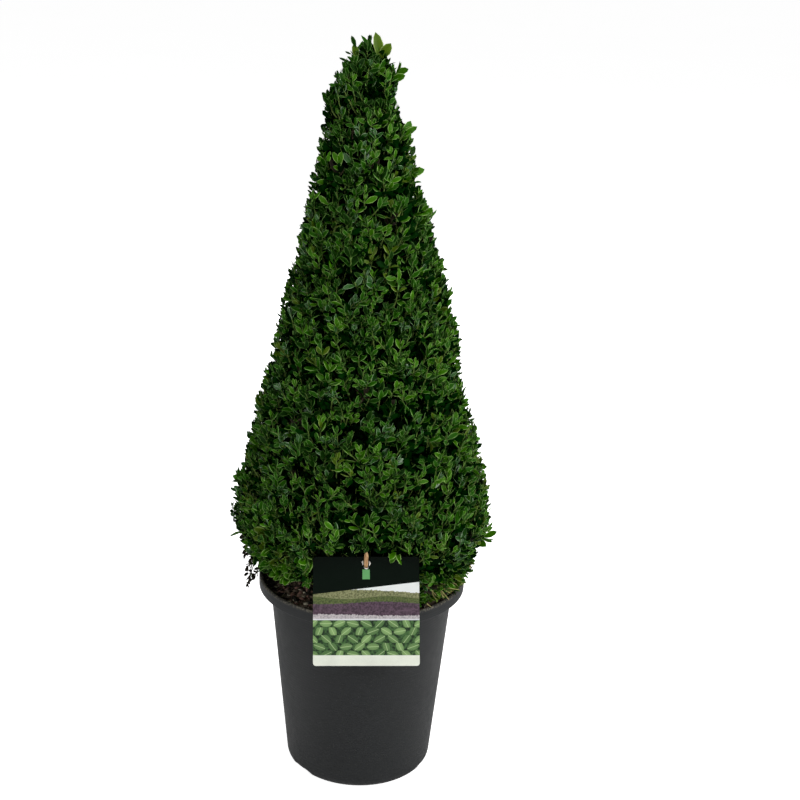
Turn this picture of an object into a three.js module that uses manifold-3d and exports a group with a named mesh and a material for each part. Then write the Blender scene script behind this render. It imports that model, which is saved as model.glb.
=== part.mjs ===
// A clipped boxwood cone in its nursery pot, with a picture card hung on a wooden pick.
// Millimetres, +Z up, -Y is the front. The origin is the centre of the pot's flat underside.

import * as THREE from "three";
import { mergeVertices } from "three/addons/utils/BufferGeometryUtils.js";
import Module from "manifold-3d";

const wasm = await Module();
wasm.setup();
const { Manifold, Mesh: SolidMesh } = wasm;

// Room left between neighbouring pieces
const GAP = 0.3;

// Pot
const POT_HEIGHT = 246;
const POT_FOOT_RADIUS = 88;
const POT_FOOT_CORNER = 15;
const POT_NECK_RADIUS = 109;
const POT_RIM_RADIUS = 122.8;
const POT_WALL = 2.8;
const LIP_HEIGHT = 14;
const LIP_SLOPE = 3;
const LIP_ROLL = 2.2;
const POT_SIDES = 48;
const NOTCH_COUNT = 3;
const NOTCH_FIRST_ANGLE = -142;
const NOTCH_WIDTH = 34;
const NOTCH_HEIGHT = 10;
const NOTCH_DEPTH = 14;

// Soil
const SOIL_EDGE_Z = 236;
const SOIL_CROWN_Z = 240;
const SOIL_SIDES = 32;

// Stem
const STEM_FOOT_Z = SOIL_CROWN_Z + GAP;
const STEM_TOP_Z = 640;
const STEM_RADIUS = 11;
const STEM_TIP_RADIUS = 3.5;
const FLARE_RADIUS = 19;
const FLARE_HEIGHT = 26;
const STEM_SIDES = 12;

// Crown, its reach being where the furthest leaf tips lie
const CROWN_FOOT_Z = 256;
const CROWN_WIDEST_Z = 330;
const CROWN_SHOULDER_Z = 800;
const CROWN_CREST_Z = 870;
const CROWN_TOP_Z = 879;
const CROWN_FOOT_RADIUS = 125;
const CROWN_WIDEST_RADIUS = 151;
const CROWN_SHOULDER_RADIUS = 46;
const CROWN_LEAN_X = -5;
const CORE_DEPTH = 19;
const CORE_FOOT_Z = 264;
const CORE_SIDES = 24;
const CORE_RINGS = 10;
const RIM_ROOM = 1.5;

// Shoots and leaves, larger than life and fewer
const SHOOT_COUNT = 92;
const SHOOT_LENGTH = 40;
const SHOOT_TIP_DEPTH = 9;
const SHOOT_RADIUS = 1.6;
const SHOOT_LEAST_RISE = 36;
const SHOOT_MOST_RISE = 62;
const PAIRS_PER_SHOOT = 2;
const PAIR_SPACING = 12;
const PAIR_TURN = 90;
const LEAF_LENGTH = 46;
const TOP_LEAF_LENGTH = 27;
const SPRIG_LEAF_LENGTH = 25;
const LEAF_WIDTH_SHARE = 0.6;
const LEAF_THICKNESS = 1;
const LEAF_FOLD = 1.5;
const LEAF_SPREAD = 62;
const OUTWARD_FACING = 2.5;
const LEAF_ROOT = 0.2;
const GOLDEN_ANGLE = 137.508;
const SEED = 4417;

// Sprigs that stand out of the clipped outline, by their tips: turn about the axis, height, reach, rise
const SPRIGS = [
  { turn: 0, z: 838, reach: 45, rise: 40 },
  { turn: 4, z: 731, reach: 68, rise: 30 },
  { turn: -3, z: 686, reach: 76, rise: 35 },
  { turn: 2, z: 595, reach: 104, rise: 30 },
  { turn: -2, z: 290, reach: 162, rise: 6 },
  { turn: 178, z: 364, reach: 156, rise: 20 },
  { turn: 183, z: 302, reach: 158, rise: 10 },
];
const LEADER_RISE = 84;
const LEADERS = [
  { x: 13, y: -3, z: CROWN_TOP_Z },
  { x: -18, y: 4, z: 870 },
];

// Picture card, leaning back on the pot's rim
const CARD_HEAD_WIDTH = 118;
const CARD_FOOT_WIDTH = 121;
const CARD_HEIGHT = 131;
const CARD_THICKNESS = 0.8;
const CARD_CORNER = 3.5;
const CARD_CENTRE_X = 6;
const CARD_LOW_Z = 188;
const CARD_LEAN = 4;
const CARD_ROLL = 1.4;
const CARD_MARGIN = 4;
const CARD_AHEAD = 60;
const CARD_BEHIND = 4;
const SLOT_WIDTH = 6.4;
const SLOT_LENGTH = 11;
const SLOT_DROP = 8;

// Wooden pick through the card's slot
const PICK_RADIUS = 2.3;
const PICK_SUNK = 30;
const PICK_PROUD = 23;
const PICK_POINT = 9;
const PICK_RISE = 60;
const PICK_SIDES = 10;

const rad = THREE.MathUtils.degToRad;

// The same pseudo-random draws each time, from 0 to 1
function seededDraws(seed) {
  let state = seed;
  return () => {
    state = (state * 16807) % 2147483647;
    return (state - 1) / 2147483646;
  };
}

// A closed three.js geometry as a manifold solid
function solidOf(geometry) {
  const bare = new THREE.BufferGeometry();
  const source = geometry.index ? geometry.toNonIndexed() : geometry;
  bare.setAttribute("position", source.getAttribute("position"));
  const merged = mergeVertices(bare, 1e-4);
  const corners = [];
  const index = merged.index.array;
  for (let i = 0; i < index.length; i += 3) {
    const [a, b, c] = [index[i], index[i + 1], index[i + 2]];
    if (a !== b && b !== c && c !== a) corners.push(a, b, c);
  }
  return new Manifold(
    new SolidMesh({
      numProp: 3,
      vertProperties: merged.attributes.position.array,
      triVerts: new Uint32Array(corners),
    }),
  );
}

// A solid as a named three.js mesh
function meshOf(name, solid, material) {
  const { vertProperties, triVerts } = solid.getMesh();
  const geometry = new THREE.BufferGeometry();
  geometry.setAttribute("position", new THREE.BufferAttribute(vertProperties, 3));
  geometry.setIndex(new THREE.BufferAttribute(triVerts, 1));
  geometry.computeVertexNormals();
  const mesh = new THREE.Mesh(geometry, material);
  mesh.name = name;
  return mesh;
}

// A profile of [radius, height] points turned about Z
function turned(profile, sides) {
  const points = profile.map(([radius, height]) => new THREE.Vector2(radius, height));
  return new THREE.LatheGeometry(points, sides).rotateX(Math.PI / 2);
}

// Points of an arc in a profile, angles in degrees
function arc(centreRadius, centreHeight, radius, from, to, steps) {
  return Array.from({ length: steps + 1 }, (_, i) => {
    const angle = rad(from + ((to - from) * i) / steps);
    return [centreRadius + radius * Math.cos(angle), centreHeight + radius * Math.sin(angle)];
  });
}

// How far the crown's axis has leaned aside at a height
function leanAt(z) {
  return (CROWN_LEAN_X * (z - SOIL_CROWN_Z)) / (CROWN_TOP_Z - SOIL_CROWN_Z);
}

function leanOver(geometry) {
  const position = geometry.getAttribute("position");
  for (let i = 0; i < position.count; i += 1) {
    position.setX(i, position.getX(i) + leanAt(position.getZ(i)));
  }
  return geometry;
}

// Radius of the clipped surface at a height: tucked in below, straight above, a rounded tip on top
function reachAt(z) {
  if (z < CROWN_WIDEST_Z) {
    const down = (CROWN_WIDEST_Z - z) / (CROWN_WIDEST_Z - CROWN_FOOT_Z);
    return CROWN_WIDEST_RADIUS - (CROWN_WIDEST_RADIUS - CROWN_FOOT_RADIUS) * down * down;
  }
  if (z < CROWN_SHOULDER_Z) {
    const up = (z - CROWN_WIDEST_Z) / (CROWN_SHOULDER_Z - CROWN_WIDEST_Z);
    return CROWN_WIDEST_RADIUS + (CROWN_SHOULDER_RADIUS - CROWN_WIDEST_RADIUS) * up;
  }
  const over = (z - CROWN_SHOULDER_Z) / (CROWN_CREST_Z - CROWN_SHOULDER_Z);
  return CROWN_SHOULDER_RADIUS * Math.max(0, 1 - over * over) ** 0.75;
}

// The lip is an upright band that stands out from the wall on a sloping ledge
const LIP_FOOT_Z = POT_HEIGHT - LIP_HEIGHT;
const LIP_INNER_RADIUS = POT_RIM_RADIUS - LIP_ROLL * 2;

// The outer side of the pot, from the axis out and up to the rim's roll
function potOuterProfile() {
  const cornerCentre = POT_FOOT_RADIUS - POT_FOOT_CORNER;
  return [
    [0, 0],
    ...arc(cornerCentre, POT_FOOT_CORNER, POT_FOOT_CORNER, -90, -6, 4),
    [POT_NECK_RADIUS, LIP_FOOT_Z - LIP_SLOPE],
    [POT_RIM_RADIUS - 1, LIP_FOOT_Z],
    [POT_RIM_RADIUS, LIP_FOOT_Z + 1],
  ];
}

// The inner side of the pot, from the rim down to the axis, with extra room taken off
function potInnerProfile(room) {
  const inset = POT_WALL + room;
  const cornerCentre = POT_FOOT_RADIUS - POT_FOOT_CORNER;
  return [
    [LIP_INNER_RADIUS - room, POT_HEIGHT - LIP_ROLL * 1.4],
    [LIP_INNER_RADIUS - room, LIP_FOOT_Z + POT_WALL * 0.8 + room],
    [POT_NECK_RADIUS - inset, LIP_FOOT_Z - LIP_SLOPE + POT_WALL * 0.4 + room],
    ...arc(cornerCentre, POT_FOOT_CORNER, POT_FOOT_CORNER - inset, -6, -90, 4),
    [0, inset],
  ];
}

// Cutters for the drain notches in the pot's foot, grown by some room
function footNotches(room) {
  const shape = new THREE.Shape();
  const half = NOTCH_WIDTH / 2 + room;
  shape.moveTo(-half, -NOTCH_HEIGHT);
  shape.lineTo(half, -NOTCH_HEIGHT);
  shape.lineTo(half * 0.92, NOTCH_HEIGHT * 0.35 + room);
  shape.quadraticCurveTo(half * 0.75, NOTCH_HEIGHT + room, half * 0.4, NOTCH_HEIGHT + room);
  shape.lineTo(-half * 0.4, NOTCH_HEIGHT + room);
  shape.quadraticCurveTo(-half * 0.75, NOTCH_HEIGHT + room, -half * 0.92, NOTCH_HEIGHT * 0.35 + room);
  const depth = NOTCH_DEPTH + POT_FOOT_CORNER + room;
  const cutters = Array.from({ length: NOTCH_COUNT }, (_, i) => {
    const geometry = new THREE.ExtrudeGeometry(shape, { depth, bevelEnabled: false, curveSegments: 4 });
    geometry.rotateX(Math.PI / 2).rotateZ(Math.PI / 2);
    geometry.translate(POT_FOOT_RADIUS - NOTCH_DEPTH - room, 0, 0);
    geometry.rotateZ(rad(NOTCH_FIRST_ANGLE + (360 * i) / NOTCH_COUNT));
    return solidOf(geometry);
  });
  return Manifold.union(cutters);
}

function potSolid() {
  const roll = arc(POT_RIM_RADIUS - LIP_ROLL, POT_HEIGHT - LIP_ROLL, LIP_ROLL, 0, 160, 5);
  const profile = [...potOuterProfile(), ...roll, ...potInnerProfile(0)];
  return solidOf(turned(profile, POT_SIDES)).subtract(footNotches(0));
}

// The potting soil fills the pot to a little under the rim
function soilSolid() {
  const filling = potInnerProfile(GAP)
    .filter(([, height]) => height < SOIL_EDGE_Z)
    .reverse();
  const edgeRadius = LIP_INNER_RADIUS - GAP;
  const mound = [
    [edgeRadius, SOIL_EDGE_Z],
    [edgeRadius * 0.7, SOIL_CROWN_Z - 2],
    [FLARE_RADIUS * 1.5, SOIL_CROWN_Z],
    [0, SOIL_CROWN_Z],
  ];
  return solidOf(turned([...filling, ...mound], SOIL_SIDES))
    .subtract(footNotches(GAP))
    .subtract(pickSolid(GAP));
}

// The short stem runs up inside the foliage, from a flat cut at soil level
function stemSolid(room) {
  const profile = [
    [0, STEM_FOOT_Z - room],
    [FLARE_RADIUS + room, STEM_FOOT_Z - room],
    [FLARE_RADIUS * 0.78 + room, STEM_FOOT_Z + FLARE_HEIGHT * 0.35],
    [STEM_RADIUS + room, STEM_FOOT_Z + FLARE_HEIGHT],
    [(STEM_RADIUS + STEM_TIP_RADIUS) / 2 + room, (STEM_FOOT_Z + STEM_TOP_Z) / 2],
    [STEM_TIP_RADIUS + room, STEM_TOP_Z + room],
    [0, STEM_TOP_Z + room],
  ];
  return solidOf(leanOver(turned(profile, STEM_SIDES)));
}

// Puts a piece made flat in the card's own plane, X across and Y up, where the card stands
function placeOnCard(geometry) {
  geometry.rotateZ(rad(CARD_ROLL)).rotateX(Math.PI / 2 - rad(CARD_LEAN));
  const leanRun = Math.tan(rad(CARD_LEAN));
  const middleZ = CARD_LOW_Z + CARD_HEIGHT / 2;
  const rimZ = POT_HEIGHT - LIP_ROLL;
  const back = POT_RIM_RADIUS + GAP + CARD_THICKNESS - (middleZ - rimZ) * leanRun;
  return geometry.translate(CARD_CENTRE_X, -back, middleZ);
}

function cardShape() {
  const [foot, head] = [CARD_FOOT_WIDTH / 2, CARD_HEAD_WIDTH / 2];
  const [h, r] = [CARD_HEIGHT / 2, CARD_CORNER];
  const shape = new THREE.Shape();
  shape.moveTo(-foot + r, -h);
  shape.lineTo(foot - r, -h);
  shape.quadraticCurveTo(foot, -h, foot, -h + r);
  shape.lineTo(head, h - r);
  shape.quadraticCurveTo(head, h, head - r, h);
  shape.lineTo(-head + r, h);
  shape.quadraticCurveTo(-head, h, -head, h - r);
  shape.lineTo(-foot, -h + r);
  shape.quadraticCurveTo(-foot, -h, -foot + r, -h);
  return shape;
}

function slotPath() {
  const [w, l, y] = [SLOT_WIDTH / 2, SLOT_LENGTH / 2, CARD_HEIGHT / 2 - SLOT_DROP];
  const path = new THREE.Path();
  path.moveTo(-w, y - l + w);
  path.absarc(0, y - l + w, w, Math.PI, 2 * Math.PI, false);
  path.lineTo(w, y + l - w);
  path.absarc(0, y + l - w, w, 0, Math.PI, false);
  return path;
}

function cardSolid() {
  const shape = cardShape();
  shape.holes.push(slotPath());
  const geometry = new THREE.ExtrudeGeometry(shape, {
    depth: CARD_THICKNESS,
    bevelEnabled: false,
    curveSegments: 4,
  });
  return solidOf(placeOnCard(geometry.translate(0, 0, -CARD_THICKNESS)));
}

// The space that foliage keeps out of, so that the card shows: from just behind it forwards
function cardSpace() {
  const [wide, high] = [CARD_FOOT_WIDTH + 2 * CARD_MARGIN, CARD_HEIGHT + 2 * CARD_MARGIN];
  const block = new THREE.BoxGeometry(wide, high, CARD_AHEAD + CARD_BEHIND);
  return solidOf(placeOnCard(block.translate(0, 0, (CARD_AHEAD - CARD_BEHIND) / 2)));
}

// The pick rises out of the soil, forwards through the slot, to its blunt point
function pickSolid(room) {
  const slot = new THREE.BufferGeometry().setAttribute(
    "position",
    new THREE.Float32BufferAttribute([0, CARD_HEIGHT / 2 - SLOT_DROP, -CARD_THICKNESS / 2], 3),
  );
  const at = new THREE.Vector3().fromBufferAttribute(placeOnCard(slot).getAttribute("position"), 0);
  const below = (at.z - SOIL_EDGE_Z) / Math.sin(rad(PICK_RISE)) + PICK_SUNK;
  const profile = [
    [0, -below - room],
    [PICK_RADIUS + room, -below - room],
    [PICK_RADIUS + room, PICK_PROUD - PICK_POINT],
    [PICK_RADIUS * 0.35 + room, PICK_PROUD + room],
    [0, PICK_PROUD + room],
  ];
  const geometry = turned(profile, PICK_SIDES).rotateX(rad(90 - PICK_RISE));
  return solidOf(geometry.translate(at.x, at.y, at.z));
}

// A three-sided tapering twig between two points
function twigSolid(foot, tip) {
  const along = tip.clone().sub(foot);
  const geometry = new THREE.CylinderGeometry(SHOOT_RADIUS * 0.5, SHOOT_RADIUS, along.length(), 3);
  geometry.rotateX(Math.PI / 2).translate(0, 0, along.length() / 2);
  geometry.lookAt(along);
  return solidOf(geometry.translate(foot.x, foot.y, foot.z));
}

// An eight-faced leaf from its root, along one direction, its upper side facing another
function leafSolid(root, along, facing, length) {
  const across = new THREE.Vector3().crossVectors(along, facing).normalize();
  const up = new THREE.Vector3().crossVectors(across, along).normalize();
  const [half, middle] = [(length * LEAF_WIDTH_SHARE) / 2, length * 0.5];
  const at = (forth, side, rise) =>
    root.clone().addScaledVector(along, forth).addScaledVector(across, side).addScaledVector(up, rise);
  const points = [
    at(-LEAF_ROOT, 0, 0),
    at(middle, half, LEAF_FOLD),
    at(length, 0, 0),
    at(middle, -half, LEAF_FOLD),
    at(middle, 0, LEAF_THICKNESS / 2),
    at(middle, 0, -LEAF_THICKNESS / 2),
  ];
  const corners = [];
  for (let i = 0; i < 4; i += 1) {
    const next = (i + 1) % 4;
    corners.push(4, i, next, 5, next, i);
  }
  const triVerts = new Uint32Array(corners);
  const vertProperties = new Float32Array(points.flatMap((p) => p.toArray()));
  return new Manifold(new SolidMesh({ numProp: 3, vertProperties, triVerts }));
}

// Radius that the leaf tips of the clipped shoots keep within
function clippedLimit(z) {
  return reachAt(Math.min(z, CROWN_CREST_Z - 6)) + 1;
}

// Height at which the given share of the crown's surface lies below
function heightAtShare(share) {
  const slices = 120;
  const heights = Array.from(
    { length: slices },
    (_, i) => CROWN_FOOT_Z + ((CROWN_CREST_Z - CROWN_FOOT_Z) * (i + 0.5)) / slices,
  );
  const total = heights.reduce((sum, z) => sum + reachAt(z), 0);
  let passed = 0;
  return heights.find((z) => {
    passed += reachAt(z);
    return passed >= share * total;
  });
}

// Leaves are smaller towards the narrow top
function leafLengthAt(z) {
  return TOP_LEAF_LENGTH + (LEAF_LENGTH - TOP_LEAF_LENGTH) * Math.min(1, reachAt(z) / CROWN_WIDEST_RADIUS);
}

// A shoot that ends at a point, rising outwards by an angle, whose leaves keep within a limit
function shootTo(tip, turn, rise, length, leaf, limit) {
  const along = new THREE.Vector3(
    Math.cos(turn) * Math.cos(rise),
    Math.sin(turn) * Math.cos(rise),
    Math.sin(rise),
  );
  return { tip, along, foot: tip.clone().addScaledVector(along, -length), leaf, limit };
}

// The shoots wind up the crown by the golden angle, evenly over its surface
function shootsOf(draw) {
  const shoots = [];
  for (let i = 0; i < SHOOT_COUNT; i += 1) {
    const z = heightAtShare((i + 0.5) / SHOOT_COUNT);
    const turn = rad(GOLDEN_ANGLE * i + 12 * (draw() - 0.5));
    const low = z < CROWN_WIDEST_Z ? (CROWN_WIDEST_Z - z) / (CROWN_WIDEST_Z - CROWN_FOOT_Z) : 0;
    const high = Math.max(0, (z - CROWN_SHOULDER_Z) / (CROWN_CREST_Z - CROWN_SHOULDER_Z));
    const spread = SHOOT_LEAST_RISE + (SHOOT_MOST_RISE - SHOOT_LEAST_RISE) * draw();
    const rise = rad(spread * (1 - 0.9 * low) + (80 - spread) * high);
    const radius = Math.max(2, reachAt(z) - SHOOT_TIP_DEPTH - 3 * draw());
    const tip = new THREE.Vector3(
      leanAt(z) + radius * Math.cos(turn),
      radius * Math.sin(turn),
      Math.max(z, CROWN_FOOT_Z + 8) - (high * SHOOT_TIP_DEPTH) / 2,
    );
    shoots.push(shootTo(tip, turn, rise, SHOOT_LENGTH, leafLengthAt(z), clippedLimit));
  }
  return shoots;
}

// The sprigs and the two leaders at the top reach past the clipped surface
function standingShoots() {
  const sprigs = SPRIGS.map(({ turn, z, reach, rise }) => {
    const radius = reach - SPRIG_LEAF_LENGTH * Math.cos(rad(rise));
    const tip = new THREE.Vector3(
      leanAt(z) + radius * Math.cos(rad(turn)),
      radius * Math.sin(rad(turn)),
      z - SPRIG_LEAF_LENGTH * Math.sin(rad(rise)),
    );
    return shootTo(tip, rad(turn), rad(rise), SHOOT_LENGTH * 1.2, SPRIG_LEAF_LENGTH, () => reach + 0.5);
  });
  const leaders = LEADERS.map(({ x, y, z }) => {
    const tip = new THREE.Vector3(x, y, z - SPRIG_LEAF_LENGTH * Math.sin(rad(LEADER_RISE)));
    const turn = Math.atan2(y, x);
    return shootTo(tip, turn, rad(LEADER_RISE), SHOOT_LENGTH * 1.4, SPRIG_LEAF_LENGTH, () => Infinity);
  });
  return [...sprigs, ...leaders];
}

// Length that keeps a leaf's tip within the crown's reach, or 0 where it can't
function fittingLength(root, along, length, limit) {
  for (let share = 1; share > 0.5; share -= 0.08) {
    const tip = root.clone().addScaledVector(along, length * share);
    const radius = Math.hypot(tip.x - leanAt(tip.z), tip.y);
    if (tip.z <= CROWN_TOP_Z + GAP && tip.z > CROWN_FOOT_Z && radius < limit(tip.z)) return length * share;
  }
  return 0;
}

// Opposite pairs of leaves up a shoot, each pair turned from the one before, and one at its tip
function leavesOf(shoot, draw) {
  const outwards = new THREE.Vector3(shoot.tip.x - leanAt(shoot.tip.z), shoot.tip.y, 0).normalize();
  const facing = outwards.multiplyScalar(OUTWARD_FACING).add(shoot.along);
  const side = new THREE.Vector3(0, 0, 1).cross(shoot.along).normalize();
  const twist = rad(360 * draw());
  const leaves = [];
  for (let pair = 0; pair < PAIRS_PER_SHOOT; pair += 1) {
    const root = shoot.tip.clone().addScaledVector(shoot.along, -(pair + 0.4) * PAIR_SPACING);
    for (const half of [0, 180]) {
      const about = twist + rad(half + PAIR_TURN * pair);
      const away = side.clone().applyAxisAngle(shoot.along, about);
      const spread = rad(LEAF_SPREAD + 16 * (draw() - 0.5));
      const along = shoot.along.clone().multiplyScalar(Math.cos(spread));
      along.addScaledVector(away, Math.sin(spread)).normalize();
      const length = fittingLength(root, along, shoot.leaf * (0.88 + 0.24 * draw()), shoot.limit);
      if (length) leaves.push(leafSolid(root, along, facing, length));
    }
  }
  const length = fittingLength(shoot.tip, shoot.along, shoot.leaf, shoot.limit);
  if (length) leaves.push(leafSolid(shoot.tip, shoot.along, facing, length));
  return leaves;
}

// The dense heart of the crown, that the shoots stand out of
function coreSolid() {
  const topRadius = CROWN_SHOULDER_RADIUS - CORE_DEPTH;
  const topRise = CROWN_CREST_Z - CORE_DEPTH - CROWN_SHOULDER_Z;
  const profile = [[0, CORE_FOOT_Z]];
  for (let ring = 0; ring <= CORE_RINGS; ring += 1) {
    const z = CORE_FOOT_Z + ((CROWN_SHOULDER_Z - CORE_FOOT_Z) * ring) / CORE_RINGS;
    profile.push([reachAt(z) - CORE_DEPTH, z]);
  }
  profile.push([topRadius * 0.7, CROWN_SHOULDER_Z + topRise * 0.7]);
  profile.push([0, CROWN_SHOULDER_Z + topRise]);
  return solidOf(leanOver(turned(profile, CORE_SIDES)));
}

// The one body that is left once loose scraps are dropped and sealed hollows are filled
function soundBody(solid) {
  const bodies = solid.decompose();
  return bodies.reduce((best, body) => (body.volume() > best.volume() ? body : best));
}

function crownSolid() {
  const draw = seededDraws(SEED);
  const [rim, top] = [POT_RIM_RADIUS + RIM_ROOM, POT_HEIGHT + RIM_ROOM];
  const potSpace = solidOf(turned([[0, 0], [rim, 0], [rim, top], [0, top]], POT_SIDES / 2));
  const limbs = [pickSolid(GAP * 1.5), stemSolid(GAP * 1.5)];
  const kept = Manifold.union([potSpace, cardSpace(), ...limbs]);
  const fits = (solid) => solid.intersect(kept).isEmpty();
  const pieces = [];
  for (const shoot of [...shootsOf(draw), ...standingShoots()]) {
    const twig = twigSolid(shoot.foot, shoot.tip);
    if (fits(twig)) pieces.push(twig, ...leavesOf(shoot, draw).filter(fits));
  }
  return soundBody(Manifold.union([coreSolid().subtract(kept), ...pieces]));
}

function finish(color, roughness) {
  return new THREE.MeshStandardMaterial({ color, roughness, metalness: 0 });
}

const plant = new THREE.Group();
plant.add(
  meshOf("pot", potSolid(), finish(0x35373a, 0.55)),
  meshOf("soil", soilSolid(), finish(0x2a1f18, 1)),
  meshOf("stem", stemSolid(0), finish(0x6b5a42, 0.9)),
  meshOf("crown", crownSolid(), finish(0x2f5a1c, 0.5)),
  meshOf("label_card", cardSolid(), finish(0xd9dcc8, 0.4)),
  meshOf("label_pick", pickSolid(0), finish(0xc79a62, 0.8)),
);

export default plant;
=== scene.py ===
# A clipped boxwood cone in its nursery pot: its looks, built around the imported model.
# Metres, +Z up, -Y is the front. The origin is the centre of the pot's flat underside.

import math

import bmesh
import bpy
import numpy as np
from mathutils import Matrix, Vector, noise


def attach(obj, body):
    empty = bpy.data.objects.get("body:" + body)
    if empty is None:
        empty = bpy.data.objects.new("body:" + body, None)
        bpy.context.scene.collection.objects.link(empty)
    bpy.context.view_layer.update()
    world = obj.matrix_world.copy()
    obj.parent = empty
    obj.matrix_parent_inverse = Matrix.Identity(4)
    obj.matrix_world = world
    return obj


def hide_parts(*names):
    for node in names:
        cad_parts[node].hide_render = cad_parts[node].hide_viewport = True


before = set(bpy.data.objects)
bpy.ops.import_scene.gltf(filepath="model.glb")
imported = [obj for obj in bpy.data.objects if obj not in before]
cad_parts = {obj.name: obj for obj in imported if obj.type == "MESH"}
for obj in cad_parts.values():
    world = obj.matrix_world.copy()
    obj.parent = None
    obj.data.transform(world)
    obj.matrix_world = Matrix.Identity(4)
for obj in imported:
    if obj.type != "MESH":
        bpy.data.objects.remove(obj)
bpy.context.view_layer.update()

# Room left between neighbouring pieces
GAP = 0.0003

# Camera, as the photograph was taken
IMAGE_SIDE = 800
LENS_PIXELS = 1513
SENSOR_MM = 36
CAMERA_AT = (0, -1.66, 1.013)
CAMERA_DOWN = 18.33
CAMERA_ROLL = 1.28
AXIS_PIXEL_X = 365.6

# Pot
POT_HEIGHT = 0.246
POT_FOOT_RADIUS = 0.088
POT_FOOT_CORNER = 0.015
POT_NECK_RADIUS = 0.109
POT_RIM_RADIUS = 0.1228
POT_WALL = 0.0028
LIP_HEIGHT = 0.014
LIP_SLOPE = 0.003
LIP_ROLL = 0.0022
LIP_FOOT_Z = POT_HEIGHT - LIP_HEIGHT
LIP_INNER_RADIUS = POT_RIM_RADIUS - LIP_ROLL * 2
LIP_CORNER = 0.0012
# The turn from the wall into the lip's ledge: out from the neck, up from the ledge's foot
LEDGE_TURN = [(-0.0007, -0.008), (0.0002, -0.001), (0.0016, 0.0006)]
POT_SIDES = 160
NOTCH_COUNT = 3
NOTCH_FIRST_ANGLE = -142
NOTCH_WIDTH = 0.034
NOTCH_HEIGHT = 0.010
NOTCH_DEPTH = 0.014

# Soil and the bark chips on it
SOIL_EDGE_Z = 0.236
SOIL_CROWN_Z = 0.240
SOIL_EDGE_RADIUS = LIP_INNER_RADIUS - GAP
SOIL_SIDES = 96
SOIL_RINGS = 26
SOIL_RELIEF = 0.0022
# Loose bits by their name: how many, how long, and the shares of black, brown, red and pale bark
LOOSE_BITS = {
    "bark_chips": (1900, 0.0068, (0.34, 0.36, 0.19, 0.11)),
    "soil_crumbs": (3000, 0.0028, (0.40, 0.36, 0.12, 0.12)),
}
# Shares of a bit's length: its width, its height, and how far its corners are drawn in or out
BIT_WIDTHS = (0.3, 0.6)
BIT_HEIGHTS = (0.12, 0.3)
BIT_CORNERS = (0.55, 1.15)
BIT_SLANT = 16
BIT_PROUD = 0.35

# Stem
STEM_FOOT_Z = SOIL_CROWN_Z + GAP
STEM_TOP_Z = 0.640
STEM_RADIUS = 0.011
STEM_TIP_RADIUS = 0.0035
FLARE_RADIUS = 0.019
FLARE_HEIGHT = 0.026
STEM_SIDES = 40
STEM_RINGS = 150
BARK_RELIEF = 0.0007
TOE_COUNT = 5
TOE_SWELL = 0.16

# Crown, whose clipped surface its leaf tips reach
CROWN_FOOT_Z = 0.256
CROWN_WIDEST_Z = 0.330
CROWN_SHOULDER_Z = 0.800
CROWN_CREST_Z = 0.870
CROWN_TOP_Z = 0.879
CROWN_FOOT_RADIUS = 0.125
CROWN_WIDEST_RADIUS = 0.151
CROWN_SHOULDER_RADIUS = 0.046
CROWN_LEAN_X = -0.005
# Where the foot of the foliage is higher: turn, spread, rise
FOOT_LIFTS = [(-126, 34, 0.032), (-60, 16, 0.004)]
# Hollows in the clipped surface, and swells where the depth is below nought: turn, height, size, depth
HOLLOWS = [
    (0, 0.800, 0.025, 0.027),
    (-84, 0.826, 0.014, 0.018),
    (-116, 0.802, 0.015, 0.014),
    (180, 0.795, 0.026, -0.003),
    (0, 0.722, 0.034, 0.008),
    (-150, 0.770, 0.030, 0.006),
    (204, 0.384, 0.030, 0.013),
    (184, 0.268, 0.030, 0.007),
    (-75, 0.640, 0.030, 0.010),
    (-66, 0.560, 0.024, 0.010),
    (-100, 0.470, 0.032, 0.008),
    (-40, 0.420, 0.030, 0.006),
    (60, 0.550, 0.040, 0.009),
    (130, 0.430, 0.040, 0.010),
    (0, 0.275, 0.024, 0.009),
    (180, 0.480, 0.026, 0.001),
    (0, 0.600, 0.036, -0.005),
    (0, 0.536, 0.026, -0.007),
    (180, 0.445, 0.040, -0.004),
    (-4, 0.395, 0.042, -0.007),
    (178, 0.348, 0.040, -0.008),
]

# Boughs and the branchlets that carry the shoots
BOUGH_COUNT = 44
BOUGH_RADIUS = 0.0042
BOUGH_TIP_RADIUS = 0.0018
BOUGH_REACH = 0.60
BOUGH_CLIMB = 0.075
BOUGH_LEAST_CLIMB = 0.35
BOUGH_MORE_CLIMB = 2.1
BOUGH_FOOT_ROOM = 0.012
BOUGH_HEAD_ROOM = 0.02
BOUGH_TIP_ROOM = 0.012
BOUGH_RELIEF = 0.05
BRANCHLET_COUNT = 430
BRANCHLET_RADIUS = 0.0017
BRANCHLET_TIP_RADIUS = 0.0010
BRANCHLET_DEPTH = 0.042
BRANCHLET_REACH = 0.72
BRANCHLET_DROP = 0.012
BRANCHLET_FIRST_TURN = 1.1
# Where each limb's curve is pulled to: shares of its way across, forth and up
BOUGH_BEND = (0.62, 0.62, 0.3)
BRANCHLET_BEND = (0.6, 0.6, 0.25)
# A way that no limb runs along, from which the sides of limbs are taken
NO_LIMBS_WAY = (0.31, 0.17, 0.93)
# The last ring of a limb is drawn in to this share of its radius
LIMB_END_SHARE = 0.3

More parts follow.
